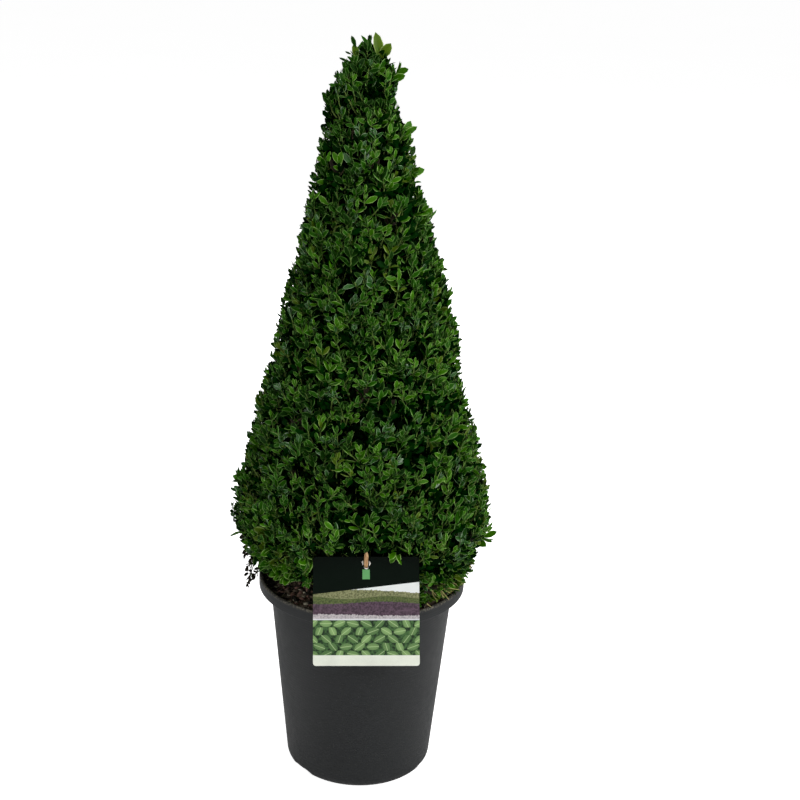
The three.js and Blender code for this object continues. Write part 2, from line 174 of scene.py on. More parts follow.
# Shoots and leaves
GOLDEN_ANGLE = math.radians(137.508)
SHOOT_COUNT = 4000
INNER_SHOOT_COUNT = 1450
SHOOT_LENGTH = 0.036
SHOOT_TIP_DEPTH = 0.003
SHOOT_DEPTH_SPREAD = 0.022
INNER_TIP_DEPTH = 0.030
INNER_DEPTH_SPREAD = 0.024
INNER_LEAF_INSET = 0.008
SHOOT_RADIUS = 0.0008
SHOOT_LEAST_RISE = 44
SHOOT_MOST_RISE = 88
TOP_SHOOT_RISE = 82
LOW_SHOOT_DROOP = 1.1
SHOOT_LEAST_REACH = 0.002
SHOOT_FOOT_ROOM = 0.006
# Shoots lie nearer the surface than an even spread would have them
DEPTH_POWER = 1.4
SHOOT_TURN_SPREAD = 75
PLACE_UNEVENNESS = 0.03
HEIGHT_UNEVENNESS = 0.003
FEWEST_PAIRS = 4
MOST_PAIRS = 6
PAIR_SPACING = 0.0058
PAIR_TURN = 90
PAIR_TURN_UNEVENNESS = 0.2
# How far the first pair is back from the tip, in spacings, and the size of its leaves and of later ones
FIRST_PAIR_BACK = 0.4
FIRST_PAIR_SHARE = 0.86
SHARE_PER_PAIR = 0.09
# The spread of lengths that differ a little, and that of leaf sizes from shoot to shoot
NEARLY_ONE = (0.85, 1.15)
LEAF_SIZES = (0.78, 1.2)
LEAF_LENGTH = 0.0126
TOP_LEAF_LENGTH = 0.0158
LEAF_PATCHES = 0.18
LEAF_WIDTH_SHARE = 0.42
LEAF_SPREAD = 36
SPREAD_PER_PAIR = 7
SPREAD_UNEVENNESS = 15
TIP_PAIR_SPREAD = 0.55
TIP_LEAF_SHARE = 0.62
OUTWARD_FACING = 0.95
FACING_SPREAD = 0.9
MIXED_LEAVES = 0.3
# How far the leaves of a clipped shoot may pass the clipped surface, or have to stay inside it
CLIP_ROUGHNESS = 0.006
CLIP_SHORTNESS = 0.002
# The shares of its length that a leaf may keep, and the height below the crest where its reach is held
KEPT_SHARES = (0.6, 0.7, 0.8, 0.9, 1.0)
CREST_ROUNDING = 0.006
# Shoots that stand deeper than these shares of their spread of depth have darker leaves as painted shade,
# near black past the second share
SHADED_FROM = 0.34
DARKEST_PAINTED_SHADE_FROM = 0.58
# Small new leaves in the axils
BUDS_ON_A_SHOOT = 2
BUD_LENGTH = 0.0045
BUD_SIZES = (0.6, 1.5)
BUD_PLACES = (0.1, 0.8)
BUD_UNEVENNESS = 0.55
# A few shoots that were missed by the shears
STRAY_SHARE = 0.02
STRAY_OVER = 0.008
# No inner shoots above this, so that the sky shows through the narrow top
INNER_TOP_Z = 0.80
# From this pair down, the leaves of a shoot are darkened as painted shade, the shaded tone at this pair and
# near black below it
PAINTED_SHADE_FROM_PAIR = 3
# Leaf shapes, widest past the middle: shares of the length and width. The rim starts at RIM_SHARE.
RIM_SHARE = 0.83
LEAF_ROWS = ((0, 0), (0.25, 0.64), (0.54, 1), (0.83, 0.68), (1, 0))
LEAF_COLUMNS = (-1, -RIM_SHARE, 0, RIM_SHARE, 1)
PLAIN_ROWS = ((0, 0), (0.34, 0.82), (0.76, 0.92), (1, 0))
PLAIN_COLUMNS = (-1, 0, 1)
# How far each leaf shape folds up from its midrib, curls back along it and rolls down at its rim
LEAF_BENDS = ((0.20, 0.05, 0.09), (0.34, 0.17, 0.06), (0.08, -0.06, 0.11))
PLAIN_BENDS = ((0.14, 0.04, 0), (0.06, 0.14, 0))
# A face belongs to the rim when its middle lies further out than this share of its outermost point
RIM_FACE_SHARE = 0.56
MOST_LEAVES_IN_A_PIECE = 8000
SEED = 4417

# Sprigs that stand out of the clipped outline, by their tips: turn about the axis, height, reach, rise
SPRIGS = [
    (0, 0.848, 0.041, 50),
    (2, 0.782, 0.050, 50),
    (4, 0.735, 0.062, 34),
    (-3, 0.688, 0.078, 35),
    (2, 0.595, 0.104, 30),
    (2, 0.386, 0.148, 10),
    (1, 0.310, 0.158, 28),
    (-2, 0.298, 0.162, 6),
    (178, 0.364, 0.156, 20),
    (183, 0.302, 0.158, 10),
]
SPRIG_LENGTH = 0.05
SPRIG_LEAF_LENGTH = 0.019
SPRIG_LEAF_BREADTH = 1.2
SPRIG_TIP_LEAF_SHARE = 0.9
SPRIG_PAIRS = 3
# Dead shoots that hang over the pot's rim at the left: a few with long leaves, finer ones below
DROOPERS = [
    (181, 0.286, 0.147, -35),
    (184, 0.276, 0.145, -30),
    (187, 0.270, 0.143, -50),
    (180, 0.264, 0.143, -20),
]
DROOPER_LEAF_LENGTH = 0.0125
FINE_DROOPERS = [
    (183, 0.262, 0.142, -60),
    (187, 0.250, 0.139, -66),
    (182, 0.252, 0.134, -74),
    (184, 0.244, 0.139, -74),
    (187, 0.238, 0.132, -60),
    (190, 0.246, 0.133, -40),
    (187, 0.232, 0.136, -80),
    (185, 0.226, 0.137, -84),
]
FINE_LEAF_LENGTH = 0.0075
CARD_DROOPER = (-73, 0.311, 0.136, -62)
# Strewn shoots: count, and the ends between which turn, height, reach and rise lie
LUSH_SHOOTS = (26, ((-150, -114), (0.288, 0.332), (0.142, 0.153), (-10, 22)))
LUSH_LEAF_LENGTH = 0.0205
LOW_SHOOTS = (70, ((-62, -3), (0.264, 0.300), (0.126, 0.141), (-22, 32)))
LOW_LEAF_LENGTH = 0.0115
RIM_SHOOTS = (66, ((-64, -2), (0.251, 0.268), (0.110, 0.132), (-35, 20)))
RIM_LEAF_LENGTH = 0.0095
# Bare cut twigs over the rim at the right, each between two ends
CUT_TWIG_COUNT = 110
CUT_TWIG_TURNS = (-64, 0)
# The radius of the foot and of the tip, and the height of each
CUT_TWIG_ENDS = ((0.086, 0.104), (0.108, 0.134), (0.256, 0.284), (0.250, 0.272))
CUT_TWIG_RADIUS = 0.0008
CUT_TWIG_ARCH = 0.003
CUT_TWIG_UNEVENNESS = 0.16
# The two leaders at the top, by the tips of their small leaves
LEADERS = [(0.0062, -0.002, 0.864), (-0.018, 0.002, 0.863)]
LEADER_LEAF_LENGTH = 0.012
# Their large leaves, as seen from the front: foot x and z, tip x and z, breadth, tone
LARGE_LEAVES = [
    (0.0062, 0.8505, 0.0032, 0.8782, 1.0, "young"),
    (0.0062, 0.8490, 0.0186, 0.8672, 1.3, "young"),
    (0.0007, 0.8564, -0.0131, 0.8749, 0.5, "mid"),
    (0.0054, 0.8397, 0.0007, 0.8564, 1.1, "fresh"),
    (0.0084, 0.8482, 0.0193, 0.8594, 0.3, "deep"),
    (-0.0187, 0.8612, -0.0237, 0.8741, 0.9, "deep"),
    (-0.0169, 0.8508, -0.0214, 0.8653, 1.2, "young"),
    (-0.0154, 0.8602, -0.0113, 0.8692, 0.7, "mid"),
    (-0.0228, 0.8543, -0.0304, 0.8573, 0.7, "deep"),
    (-0.0259, 0.8463, -0.0367, 0.8508, 0.6, "deep"),
]
LARGE_LEAF_Y = -0.006
LARGE_LEAF_UNEVENNESS = 0.4
LEADER_RISE = 84
LEADER_FACING = (0.3, -3, 0.3)
LEADER_LENGTH = 0.056
# Shoots that may reach this far past the clipped surface were never clipped
FREE_OVER = 0.05
# Room that foliage leaves to the pot's rim and to the stem
RIM_ROOM = 0.0015
STEM_ROOM = 0.002

# Picture card, leaning back on the pot's rim
CARD_HEAD_WIDTH = 0.118
CARD_FOOT_WIDTH = 0.121
CARD_HEIGHT = 0.131
CARD_THICKNESS = 0.0008
CARD_CORNER = 0.0035
CARD_CENTRE_X = 0.006
CARD_LOW_Z = 0.188
CARD_LEAN = 4
CARD_ROLL = 1.4
# Room that foliage leaves to the card: beside it, over its head, before it and behind it
CARD_SIDE_ROOM = 0.002
CARD_HEAD_ROOM = 0.0025
CARD_AHEAD = 0.060
CARD_BEHIND = 0.003
CARD_SIGHT_SLOPE = math.tan(math.radians(CAMERA_DOWN + CARD_LEAN))
SLOT_WIDTH = 0.0064
SLOT_LENGTH = 0.011
SLOT_DROP = 0.008
SLOT_UP = CARD_HEIGHT / 2 - SLOT_DROP
# Torn scraps of the card's core round the slot: place across and up, turn, length, width
TORN_FLAPS = {
    "left": (-SLOT_WIDTH / 2, 0.0012, 90, 0.0052, 0.0016),
    "right": (SLOT_WIDTH / 2, 0.0006, -90, 0.0056, 0.0020),
    "foot": (0.0004, -SLOT_LENGTH / 2 + 0.0003, 180, 0.0040, 0.0012),
}
FLAP_THICKNESS = 0.0002
# Where the printed bands meet, up from the card's foot, and the slant of the head band
CREAM_TOP = 0.0130
LEAVES_TOP = 0.0555
LINE_TOP = 0.0572
HEAD_LOW = 0.0940
HEAD_SLANT = 0.125
# The small square on the head band, and how far it is below the card's head
SQUARE_SIDE = 0.0082
SQUARE_HEIGHT = 0.0115
SQUARE_TOP_DROP = 0.0150
# Leaf ovals printed side by side, and rows of them up the whole card
OVALS_ACROSS = 8
OVALS_UP = 14

# Wooden pick through the card's slot
PICK_RADIUS = 0.0023
PICK_SUNK = 0.030
PICK_PROUD = 0.023
PICK_POINT = 0.009
PICK_RISE = 60
PICK_ROOM = 0.004
PICK_RINGS = 40
PICK_SIDES = 20
PICK_SPLITS = 0.05

# Soft lights: place, watts, and whether they show in reflections
LIGHT_SIDE = 1.2
LIGHTS = {
    "key": ((2.2, -1.4, 1.7), 49, True),
    "fill": ((-2.2, -1.5, 1.3), 23, True),
    "front_top": ((0.3, -1.9, 2.7), 29, True),
    "top": ((0.1, 0.5, 2.9), 22, True),
    "back": ((0.2, 2.6, 1.0), 25, False),
}
LIGHTS_AIM = (0, 0, 0.45)
LIGHT_ALL_ROUND = 0.12
FLOOR_HALF_SIDE = 30
# The floor's darker and paler grey, and what the eye sees besides
FLOOR_GREYS = (0.86, 0.90, 0.88)

scene = bpy.context.scene
draws = np.random.default_rng(SEED)


def srgb(red, green, blue):
    """A display colour, 0 to 255, as the linear colour that sockets take."""
    shares = [value / 255 for value in (red, green, blue)]
    return (*(s / 12.92 if s < 0.04045 else ((s + 0.055) / 1.055) ** 2.4 for s in shares), 1.0)


# Meshes

def piece_of(name, shape, materials, smooth_below=40):
    """A named object from a bmesh, smooth except at edges sharper than an angle."""
    mesh = bpy.data.meshes.new(name)
    shape.to_mesh(mesh)
    shape.free()
    for material in materials:
        mesh.materials.append(material)
    mesh.shade_smooth()
    mesh.set_sharp_from_angle(angle=math.radians(smooth_below))
    piece = bpy.data.objects.new(name, mesh)
    scene.collection.objects.link(piece)
    return piece


def extruded(shape, way):
    """Draws all of a shape's faces out along a way, and turns the new ones outwards."""
    moved = bmesh.ops.extrude_face_region(shape, geom=shape.faces[:])["geom"]
    points = [item for item in moved if isinstance(item, bmesh.types.BMVert)]
    bmesh.ops.translate(shape, verts=points, vec=way)
    bmesh.ops.recalc_face_normals(shape, faces=shape.faces)


def in_place(piece, slot, *nodes):
    """A finished piece: it moves with the plant and stands for its nodes, which it hides. Its slot is not
    used.
    """
    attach(piece, "root")
    if nodes:
        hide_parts(*nodes)
    return piece


def arc(centre_radius, centre_z, radius, start, end, steps):
    """Points of an arc in a profile, angles in degrees."""
    angles = [math.radians(start + (end - start) * i / steps) for i in range(steps + 1)]
    return [(centre_radius + radius * math.cos(a), centre_z + radius * math.sin(a)) for a in angles]


def spun(profile, sides):
    """A profile of (radius, height) points turned about Z, its poles closed."""
    shape = bmesh.new()
    points = [shape.verts.new((radius, 0, z)) for radius, z in profile]
    edges = [shape.edges.new(pair) for pair in zip(points, points[1:])]
    bmesh.ops.spin(
        shape, geom=points + edges, axis=(0, 0, 1), cent=(0, 0, 0),
        angle=math.tau, steps=sides, use_merge=True,
    )
    bmesh.ops.remove_doubles(shape, verts=shape.verts, dist=1e-6)
    bmesh.ops.recalc_face_normals(shape, faces=shape.faces)
    return shape


def cut(piece, cutter):
    """Cuts one object out of another, for good."""
    modifier = piece.modifiers.new("cut", "BOOLEAN")
    modifier.operation = "DIFFERENCE"
    modifier.solver = "EXACT"
    modifier.object = cutter
    evaluated = piece.evaluated_get(bpy.context.evaluated_depsgraph_get())
    mesh = bpy.data.meshes.new_from_object(evaluated)
    piece.modifiers.clear()
    piece.data = mesh
    bpy.data.objects.remove(cutter)


def joined_copies(name, places, faces, face_materials, materials, smooth=True):
    """One mesh of many copies of a small shape. places has each copy's points, faces the shape's."""
    copies, points, _ = places.shape
    corners = np.concatenate(faces)
    starts = np.cumsum([0] + [len(face) for face in faces[:-1]])
    mesh = bpy.data.meshes.new(name)
    mesh.vertices.add(copies * points)
    mesh.vertices.foreach_set("co", places.astype(np.float32).ravel())
    every = np.arange(copies)[:, None]
    mesh.loops.add(copies * len(corners))
    mesh.loops.foreach_set("vertex_index", (every * points + corners).ravel().astype(np.int32))
    mesh.polygons.add(copies * len(faces))
    mesh.polygons.foreach_set("loop_start", (every * len(corners) + starts).ravel().astype(np.int32))
    for material in materials:
        mesh.materials.append(material)
    indices = np.broadcast_to(face_materials, (copies, len(faces)))
    mesh.polygons.foreach_set("material_index", indices.ravel().astype(np.int32))
    mesh.update(calc_edges=True)
    if smooth:
        mesh.shade_smooth()
    piece = bpy.data.objects.new(name, mesh)
    scene.collection.objects.link(piece)
    return piece


def unit(vectors):
    return vectors / np.maximum(np.linalg.norm(vectors, axis=-1, keepdims=True), 1e-9)


def around(turn, radius, z, axis_x=0):
    """Points round an upright axis, by turn, radius and height."""
    return np.stack([axis_x + radius * np.cos(turn), radius * np.sin(turn), z], 1)


def picked_rows(table, which):
    """The chosen rows of a table of shoots or leaves, which has an array for each column."""
    return {key: column[which] for key, column in table.items()}


def joined_rows(*tables):
    """Tables of shoots or leaves, one below the other."""
    return {key: np.concatenate([table[key] for table in tables]) for key in tables[0]}


def bends(starts, controls, ends, steps):
    """Points along curves that leave each start towards its control point and come to its end."""
    t = np.linspace(0, 1, steps + 1)[None, :, None]
    return (1 - t) ** 2 * starts[:, None] + 2 * t * (1 - t) * controls[:, None] + t**2 * ends[:, None]


def limbs(name, paths, first_radius, last_radius, sides, material, relief=0):
    """Tapering limbs along paths, joined, each closed at its foot and drawn in at its tip."""
    count, rings, _ = paths.shape
    along = unit(np.gradient(paths, axis=1))
    side = unit(np.cross(along, np.array(NO_LIMBS_WAY)))
    other = np.cross(along, side)
    taper = np.linspace(0, 1, rings)
    radii = first_radius + (last_radius - first_radius) * taper
    radii[-1] = last_radius * LIMB_END_SHARE
    turns = np.arange(sides) * math.tau / sides
    ring = side[:, :, None] * np.cos(turns)[:, None] + other[:, :, None] * np.sin(turns)[:, None]
    swell = np.ones((count, rings, sides, 1))
    if relief:
        swell += relief * draws.standard_normal(swell.shape)
    places = paths[:, :, None] + ring * radii[None, :, None, None] * swell
    faces = [
        (r * sides + s, r * sides + (s + 1) % sides, (r + 1) * sides + (s + 1) % sides, (r + 1) * sides + s)
        for r in range(rings - 1)
        for s in range(sides)
    ]
    faces.append(tuple((rings - 1) * sides + s for s in range(sides)))
    faces.append(tuple(reversed(range(sides))))
    places = places.reshape(count, rings * sides, 3)
    return joined_copies(name, places, faces, [0] * len(faces), [material])


# Material nodes

def feed(tree, socket, value):
    """Gives an input a value, or another node's output."""
    if isinstance(value, bpy.types.NodeSocket):
        tree.links.new(value, socket)
    else:
        socket.default_value = value


def add(tree, kind, inputs=None, **settings):
    """A node with its settings and inputs."""
    made = tree.nodes.new("ShaderNode" + kind)
    for name, value in settings.items():
        setattr(made, name, value)
    for name, value in (inputs or {}).items():
        feed(tree, made.inputs[name], value)
    return made


def calc(tree, operation, first, second=0.0):
    """One step of arithmetic, as an output."""
    return add(tree, "Math", {0: first, 1: second}, operation=operation).outputs[0]


def ramp(tree, value, low, high, to_low=0.0, to_high=1.0):
    """A value brought from one range to another, held at its ends."""
    ends = {"Value": value, "From Min": low, "From Max": high, "To Min": to_low, "To Max": to_high}
    return add(tree, "MapRange", ends, clamp=True).outputs["Result"]


def mixed(tree, share, first, second):
    """Two colours mixed by a share."""
    made = add(tree, "Mix", data_type="RGBA")
    for name, value in (("Factor_Float", share), ("A_Color", first), ("B_Color", second)):
        feed(tree, next(s for s in made.inputs if s.identifier == name), value)
    return next(s for s in made.outputs if s.identifier == "Result_Color")


def object_place(tree):
    return add(tree, "TexCoord").outputs["Object"]


def cloudy(tree, scale, detail, at=None, roughness=0.5):
    """An uneven pattern of the given size, fixed to the object."""
    inputs = {"Vector": at or object_place(tree), "Scale": scale, "Detail": detail, "Roughness": roughness}
    return add(tree, "TexNoise", inputs).outputs[0]


def group_of(name, inputs, outputs):
    """An empty shader group with its sockets, and its input and output nodes."""
    group = bpy.data.node_groups.new(name, "ShaderNodeTree")
    for label, kind, value in inputs:
        socket = group.interface.new_socket(label, in_out="INPUT", socket_type="NodeSocket" + kind)
        socket.default_value = value
    for label, kind in outputs:
        group.interface.new_socket(label, in_out="OUTPUT", socket_type="NodeSocket" + kind)
    return group, group.nodes.new("NodeGroupInput").outputs, group.nodes.new("NodeGroupOutput").inputs


def mottle_group():
    """Soft uneven colour in two sizes of patch, with its mask."""
    group, given, out = group_of(
        "mottle",
        [
            ("Dark", "Color", (0, 0, 0, 1)),
            ("Light", "Color", (1, 1, 1, 1)),
            ("Patch Scale", "Float", 20),
            ("Grain Scale", "Float", 300),
        ],
        [("Color", "Color"), ("Mask", "Float")],
    )
    patches = calc(group, "MULTIPLY", cloudy(group, given["Patch Scale"], 4), 0.65)
    grain = calc(group, "MULTIPLY", cloudy(group, given["Grain Scale"], 2), 0.35)
    mask = ramp(group, calc(group, "ADD", patches, grain), 0.35, 0.65)
    group.links.new(mixed(group, mask, given["Dark"], given["Light"]), out["Color"])
    group.links.new(mask, out["Mask"])
    return group


def specks_group():
    """Small scattered specks, as a mask: their size is a share of their spacing."""
    group, given, out = group_of(
        "specks",
        [("Scale", "Float", 100), ("Size", "Float", 0.1), ("Rarity", "Float", 0.5)],
        [("Mask", "Float")],
    )
    cells = add(group, "TexVoronoi", {"Vector": object_place(group), "Scale": given["Scale"]})
    near = calc(group, "LESS_THAN", cells.outputs["Distance"], given["Size"])
    pick = add(group, "SeparateColor", {"Color": cells.outputs["Color"]}).outputs[0]
    chosen = calc(group, "GREATER_THAN", pick, given["Rarity"])
    group.links.new(calc(group, "MULTIPLY", near, chosen), out["Mask"])
    return group


def grain_group():
    """Fibres that run along Z of the places that it is given."""
    group, given, out = group_of(
        "grain",
        [("Vector", "Vector", (0, 0, 0)), ("Scale", "Float", 400), ("Stretch", "Float", 0.05)],
        [("Height", "Float")],
    )
    stretch = add(group, "CombineXYZ", {"X": 1.0, "Y": 1.0, "Z": given["Stretch"]})
    drawn = add(group, "VectorMath", {0: given["Vector"], 1: stretch.outputs[0]}, operation="MULTIPLY")
    group.links.new(cloudy(group, given["Scale"], 5, drawn.outputs[0]), out["Height"])
    return group


MOTTLE = mottle_group()
SPECKS = specks_group()
GRAIN = grain_group()


def use(tree, group, **inputs):
    """A shader group in a material, its inputs by name with _ for a space."""
    made = tree.nodes.new("ShaderNodeGroup")
    made.node_tree = group
    for name, value in inputs.items():
        feed(tree, made.inputs[name.replace("_", " ")], value)
    return made.outputs


def finish(name, roughness, base=None, specular=0.5):
    """A new material, with its tree and its shader's inputs."""
    made = bpy.data.materials.new(name)
    made.use_nodes = True
    shader = made.node_tree.nodes["Principled BSDF"].inputs
    shader["Roughness"].default_value = roughness
    shader["Specular IOR Level"].default_value = specular
    if base:
        shader["Base Color"].default_value = base
    return made, made.node_tree, shader


def relief(tree, shader, height, distance, strength=1.0):
    """Bumps of a given depth in metres."""
    bump = add(tree, "Bump", {"Height": height, "Distance": distance, "Strength": strength})
    tree.links.new(bump.outputs[0], shader["Normal"])


def pot_plastic():
    """Satin charcoal plastic with faint rings from its mould, small specks, and soil dust on the rim."""
    made, tree, shader = finish("pot_plastic", 0.5, specular=0.3)
    tone = use(tree, MOTTLE, Dark=srgb(21, 23, 24), Light=srgb(32, 34, 35), Patch_Scale=9, Grain_Scale=120)
    dark_specks = use(tree, SPECKS, Scale=110, Size=0.12, Rarity=0.86)["Mask"]
    dust = use(tree, SPECKS, Scale=420, Size=0.20, Rarity=0.80)["Mask"]
    speckled = mixed(tree, calc(tree, "MULTIPLY", dark_specks, 0.55), tone["Color"], srgb(18, 18, 19))
    dusted = mixed(tree, calc(tree, "MULTIPLY", dust, 0.16), speckled, srgb(104, 102, 96))
    up = add(tree, "SeparateXYZ", {"Vector": object_place(tree)}).outputs[2]
    top = ramp(tree, up, POT_HEIGHT - 0.0035, POT_HEIGHT - 0.0008)
    rim = calc(tree, "MULTIPLY", top, ramp(tree, cloudy(tree, 420, 5), 0.44, 0.62, 0.10, 0.85))
    tree.links.new(mixed(tree, rim, dusted, srgb(112, 107, 94)), shader["Base Color"])
    tree.links.new(ramp(tree, tone["Mask"], 0, 1, 0.46, 0.62), shader["Roughness"])
    waves = {"Vector": object_place(tree), "Scale": 90, "Distortion": 1.5, "Detail": 2}
    rings = add(tree, "TexWave", waves, bands_direction="Z").outputs["Fac"]
    height = calc(tree, "ADD", calc(tree, "MULTIPLY", rings, 0.5), cloudy(tree, 900, 3))
    relief(tree, shader, height, 0.00012)
    return made


def soil_dark():
    """Damp peat, in uneven patches from near black to mid brown."""
    made, tree, shader = finish("soil_dark", 0.9, specular=0.2)
    tone = use(tree, MOTTLE, Dark=srgb(24, 20, 16), Light=srgb(104, 88, 70), Patch_Scale=90, Grain_Scale=700)
    tree.links.new(tone["Color"], shader["Base Color"])
    relief(tree, shader, cloudy(tree, 500, 6, roughness=0.7), 0.0012)
    return made


def plain_bits(name, colour, roughness=0.85):
    """Small bits of one colour each, with a fibrous surface."""
    made, tree, shader = finish(name, roughness, base=colour, specular=0.25)
    fibres = use(tree, GRAIN, Vector=object_place(tree), Scale=900, Stretch=0.3)
    relief(tree, shader, fibres["Height"], 0.0003)
    return made


def stem_bark():
    """Grey-brown bark, furrowed along the stem, with painted shade darkening the furrows."""
    made, tree, shader = finish("stem_bark", 0.85, specular=0.3)
    furrows = use(tree, GRAIN, Vector=object_place(tree), Scale=380, Stretch=0.12)["Height"]
    tone = use(tree, MOTTLE, Dark=srgb(58, 46, 34), Light=srgb(122, 106, 82), Patch_Scale=45, Grain_Scale=400)
    # Painted shade: the colour darkens in the furrows
    shaded = mixed(tree, ramp(tree, furrows, 0.35, 0.6, 0.75, 0), tone["Color"], srgb(34, 27, 20))
    tree.links.new(shaded, shader["Base Color"])
    relief(tree, shader, furrows, 0.0012)
    return made


def pick_wood():
    """Pale split softwood with a straight grain, along the pick's own direction."""
    made, tree, shader = finish("pick_wood", 0.65, specular=0.35)
    leaning = (math.radians(PICK_RISE - 90), 0, 0)
    turned = add(tree, "Mapping", {"Vector": object_place(tree), "Rotation": leaning}).outputs[0]
    fibres = use(tree, GRAIN, Vector=turned, Scale=1400, Stretch=0.04)["Height"]
    tone = mixed(tree, ramp(tree, fibres, 0.35, 0.65), srgb(168, 122, 78), srgb(226, 186, 138))
    tree.links.new(tone, shader["Base Color"])
    relief(tree, shader, fibres, 0.0002)
    return made


# Leaf colours by spray: blade, rim, roughness, shine. The paler rim is partly the leaf's own paler margin and
# partly a painted highlight along its edge
LEAF_TONES = {
    "deep": (srgb(13, 45, 0), srgb(76, 112, 50), 0.42, 0.04),
    "mid": (srgb(31, 78, 1), srgb(112, 152, 78), 0.40, 0.06),
    "fresh": (srgb(54, 104, 4), srgb(138, 176, 92), 0.40, 0.08),
    "young": (srgb(70, 96, 12), srgb(130, 152, 78), 0.42, 0.10),
    # The grey tone's greyer blade and pale grey rim are partly painted sheen, beside its real gloss
    "grey": (srgb(38, 82, 26), srgb(124, 154, 112), 0.27, 0.38),
    "withered": (srgb(24, 20, 11), srgb(58, 50, 32), 0.60, 0.10),
    "straw": (srgb(118, 114, 54), srgb(166, 160, 104), 0.60, 0.12),
    # The shaded tone and the near-black one after it are painted shade, for leaves that stand deep in the
    # crown
    "shaded": (srgb(3, 38, 1), srgb(3, 38, 1), 0.45, 0.02),
    "painted_shade_darkest": (srgb(1, 16, 1), srgb(1, 16, 1), 0.55, 0.01),
    "bud": (srgb(100, 138, 68), srgb(100, 138, 68), 0.55, 0.08),
}
RIM_SHINE = 0.06
TONE_NAMES = list(LEAF_TONES)
MID, FRESH, YOUNG, WITHERED, STRAW, SHADED, DARKEST_PAINTED_SHADE, BUD = (
    TONE_NAMES.index(tone) for tone in ("mid", "fresh", "young", "withered", "straw", "shaded", "painted_shade_darkest", "bud")
)


def leaf_green(tone):
    """The blade and the paler rim of one tone of leaf, the rim partly a paler margin and partly a painted
    highlight.
    """
    blade, rim, roughness, shine = LEAF_TONES[tone]
    return [
        finish("leaf_" + tone, roughness, base=blade, specular=shine)[0],
        finish("leaf_rim_" + tone, roughness + 0.08, base=rim, specular=shine + RIM_SHINE)[0],
    ]


# Colours of thin twigs: colour, roughness, shine
TWIG_TONES = {
    "brown": (srgb(60, 50, 34), 0.8, 0.3),
    "green": (srgb(104, 126, 60), 0.6, 0.15),
    "straw": (srgb(168, 158, 102), 0.6, 0.2),
}


def twig_skin(tone):
    colour, roughness, shine = TWIG_TONES[tone]
    return finish("twig_" + tone, roughness, base=colour, specular=shine)[0]


# Pot

def pot_profile():
    """The wall's section, closed at the axis: outside up, round the rim and down the inside."""
    corner = POT_FOOT_RADIUS - POT_FOOT_CORNER
    outside = [
        (0, 0),
        (corner * 0.6, 0),
        *arc(corner, POT_FOOT_CORNER, POT_FOOT_CORNER, -90, -6, 10),
        *((POT_NECK_RADIUS + out, LIP_FOOT_Z - LIP_SLOPE + up) for out, up in LEDGE_TURN),
        (POT_RIM_RADIUS - 0.0022, LIP_FOOT_Z - 0.0003),
        *arc(POT_RIM_RADIUS - LIP_CORNER, LIP_FOOT_Z + 0.0011, LIP_CORNER, -80, 0, 5),
    ]
    rim = arc(POT_RIM_RADIUS - LIP_ROLL, POT_HEIGHT - LIP_ROLL, LIP_ROLL, 0, 180, 12)
    inside = [
        (LIP_INNER_RADIUS, LIP_FOOT_Z + POT_WALL * 0.8),
        (POT_NECK_RADIUS - POT_WALL, LIP_FOOT_Z - LIP_SLOPE + POT_WALL * 0.4),
        *arc(corner, POT_FOOT_CORNER, POT_FOOT_CORNER - POT_WALL, -6, -90, 8),
        (0, POT_WALL),
    ]
    return outside + rim + inside


def notch_cutter(angle):
    """One drain notch's space: a low arch, extruded inwards through the foot's corner."""
    shape = bmesh.new()
    half = NOTCH_WIDTH / 2
    arch = [(-half, -NOTCH_HEIGHT), (-half, NOTCH_HEIGHT * 0.2)]
    arch += [(x - half * 0.55, z) for x, z in arc(0, NOTCH_HEIGHT * 0.2, NOTCH_HEIGHT * 0.8, 170, 90, 6)]
    arch += [(x + half * 0.55, z) for x, z in arc(0, NOTCH_HEIGHT * 0.2, NOTCH_HEIGHT * 0.8, 90, 10, 6)]
    arch += [(half, NOTCH_HEIGHT * 0.2), (half, -NOTCH_HEIGHT)]
    inner = POT_FOOT_RADIUS - NOTCH_DEPTH
    shape.faces.new([shape.verts.new((inner, y, z)) for y, z in arch])
    extruded(shape, (NOTCH_DEPTH + POT_FOOT_CORNER, 0, 0))
    turn = Matrix.Rotation(math.radians(angle), 4, "Z")
    bmesh.ops.transform(shape, matrix=turn, verts=shape.verts)
    return piece_of("notch_cutter", shape, [])


def cut_notches(piece):
    """The drain notches, cut out of the pot or of the soil behind its wall."""
    for i in range(NOTCH_COUNT):
        cut(piece, notch_cutter(NOTCH_FIRST_ANGLE + 360 * i / NOTCH_COUNT))


def build_pot():
    pot = piece_of("nursery_pot", spun(pot_profile(), POT_SIDES), [pot_plastic()], 50)
    cut_notches(pot)
    pot.data.set_sharp_from_angle(angle=math.radians(50))
    in_place(pot, "pot_plastic", "pot")


# Soil

def soil_height(x, y):
    """Height of the soil's surface: a low mound, lumpy in two sizes."""
    share = min(1, math.hypot(x, y) / SOIL_EDGE_RADIUS)
    mound = SOIL_CROWN_Z + (SOIL_EDGE_Z - SOIL_CROWN_Z) * share**2.2
    lumps = noise.noise(Vector((x, y, 0)) * 60) * 0.6 + noise.noise(Vector((x, y, 3)) * 190) * 0.4
    return mound - SOIL_RELIEF * 0.4 + SOIL_RELIEF * lumps


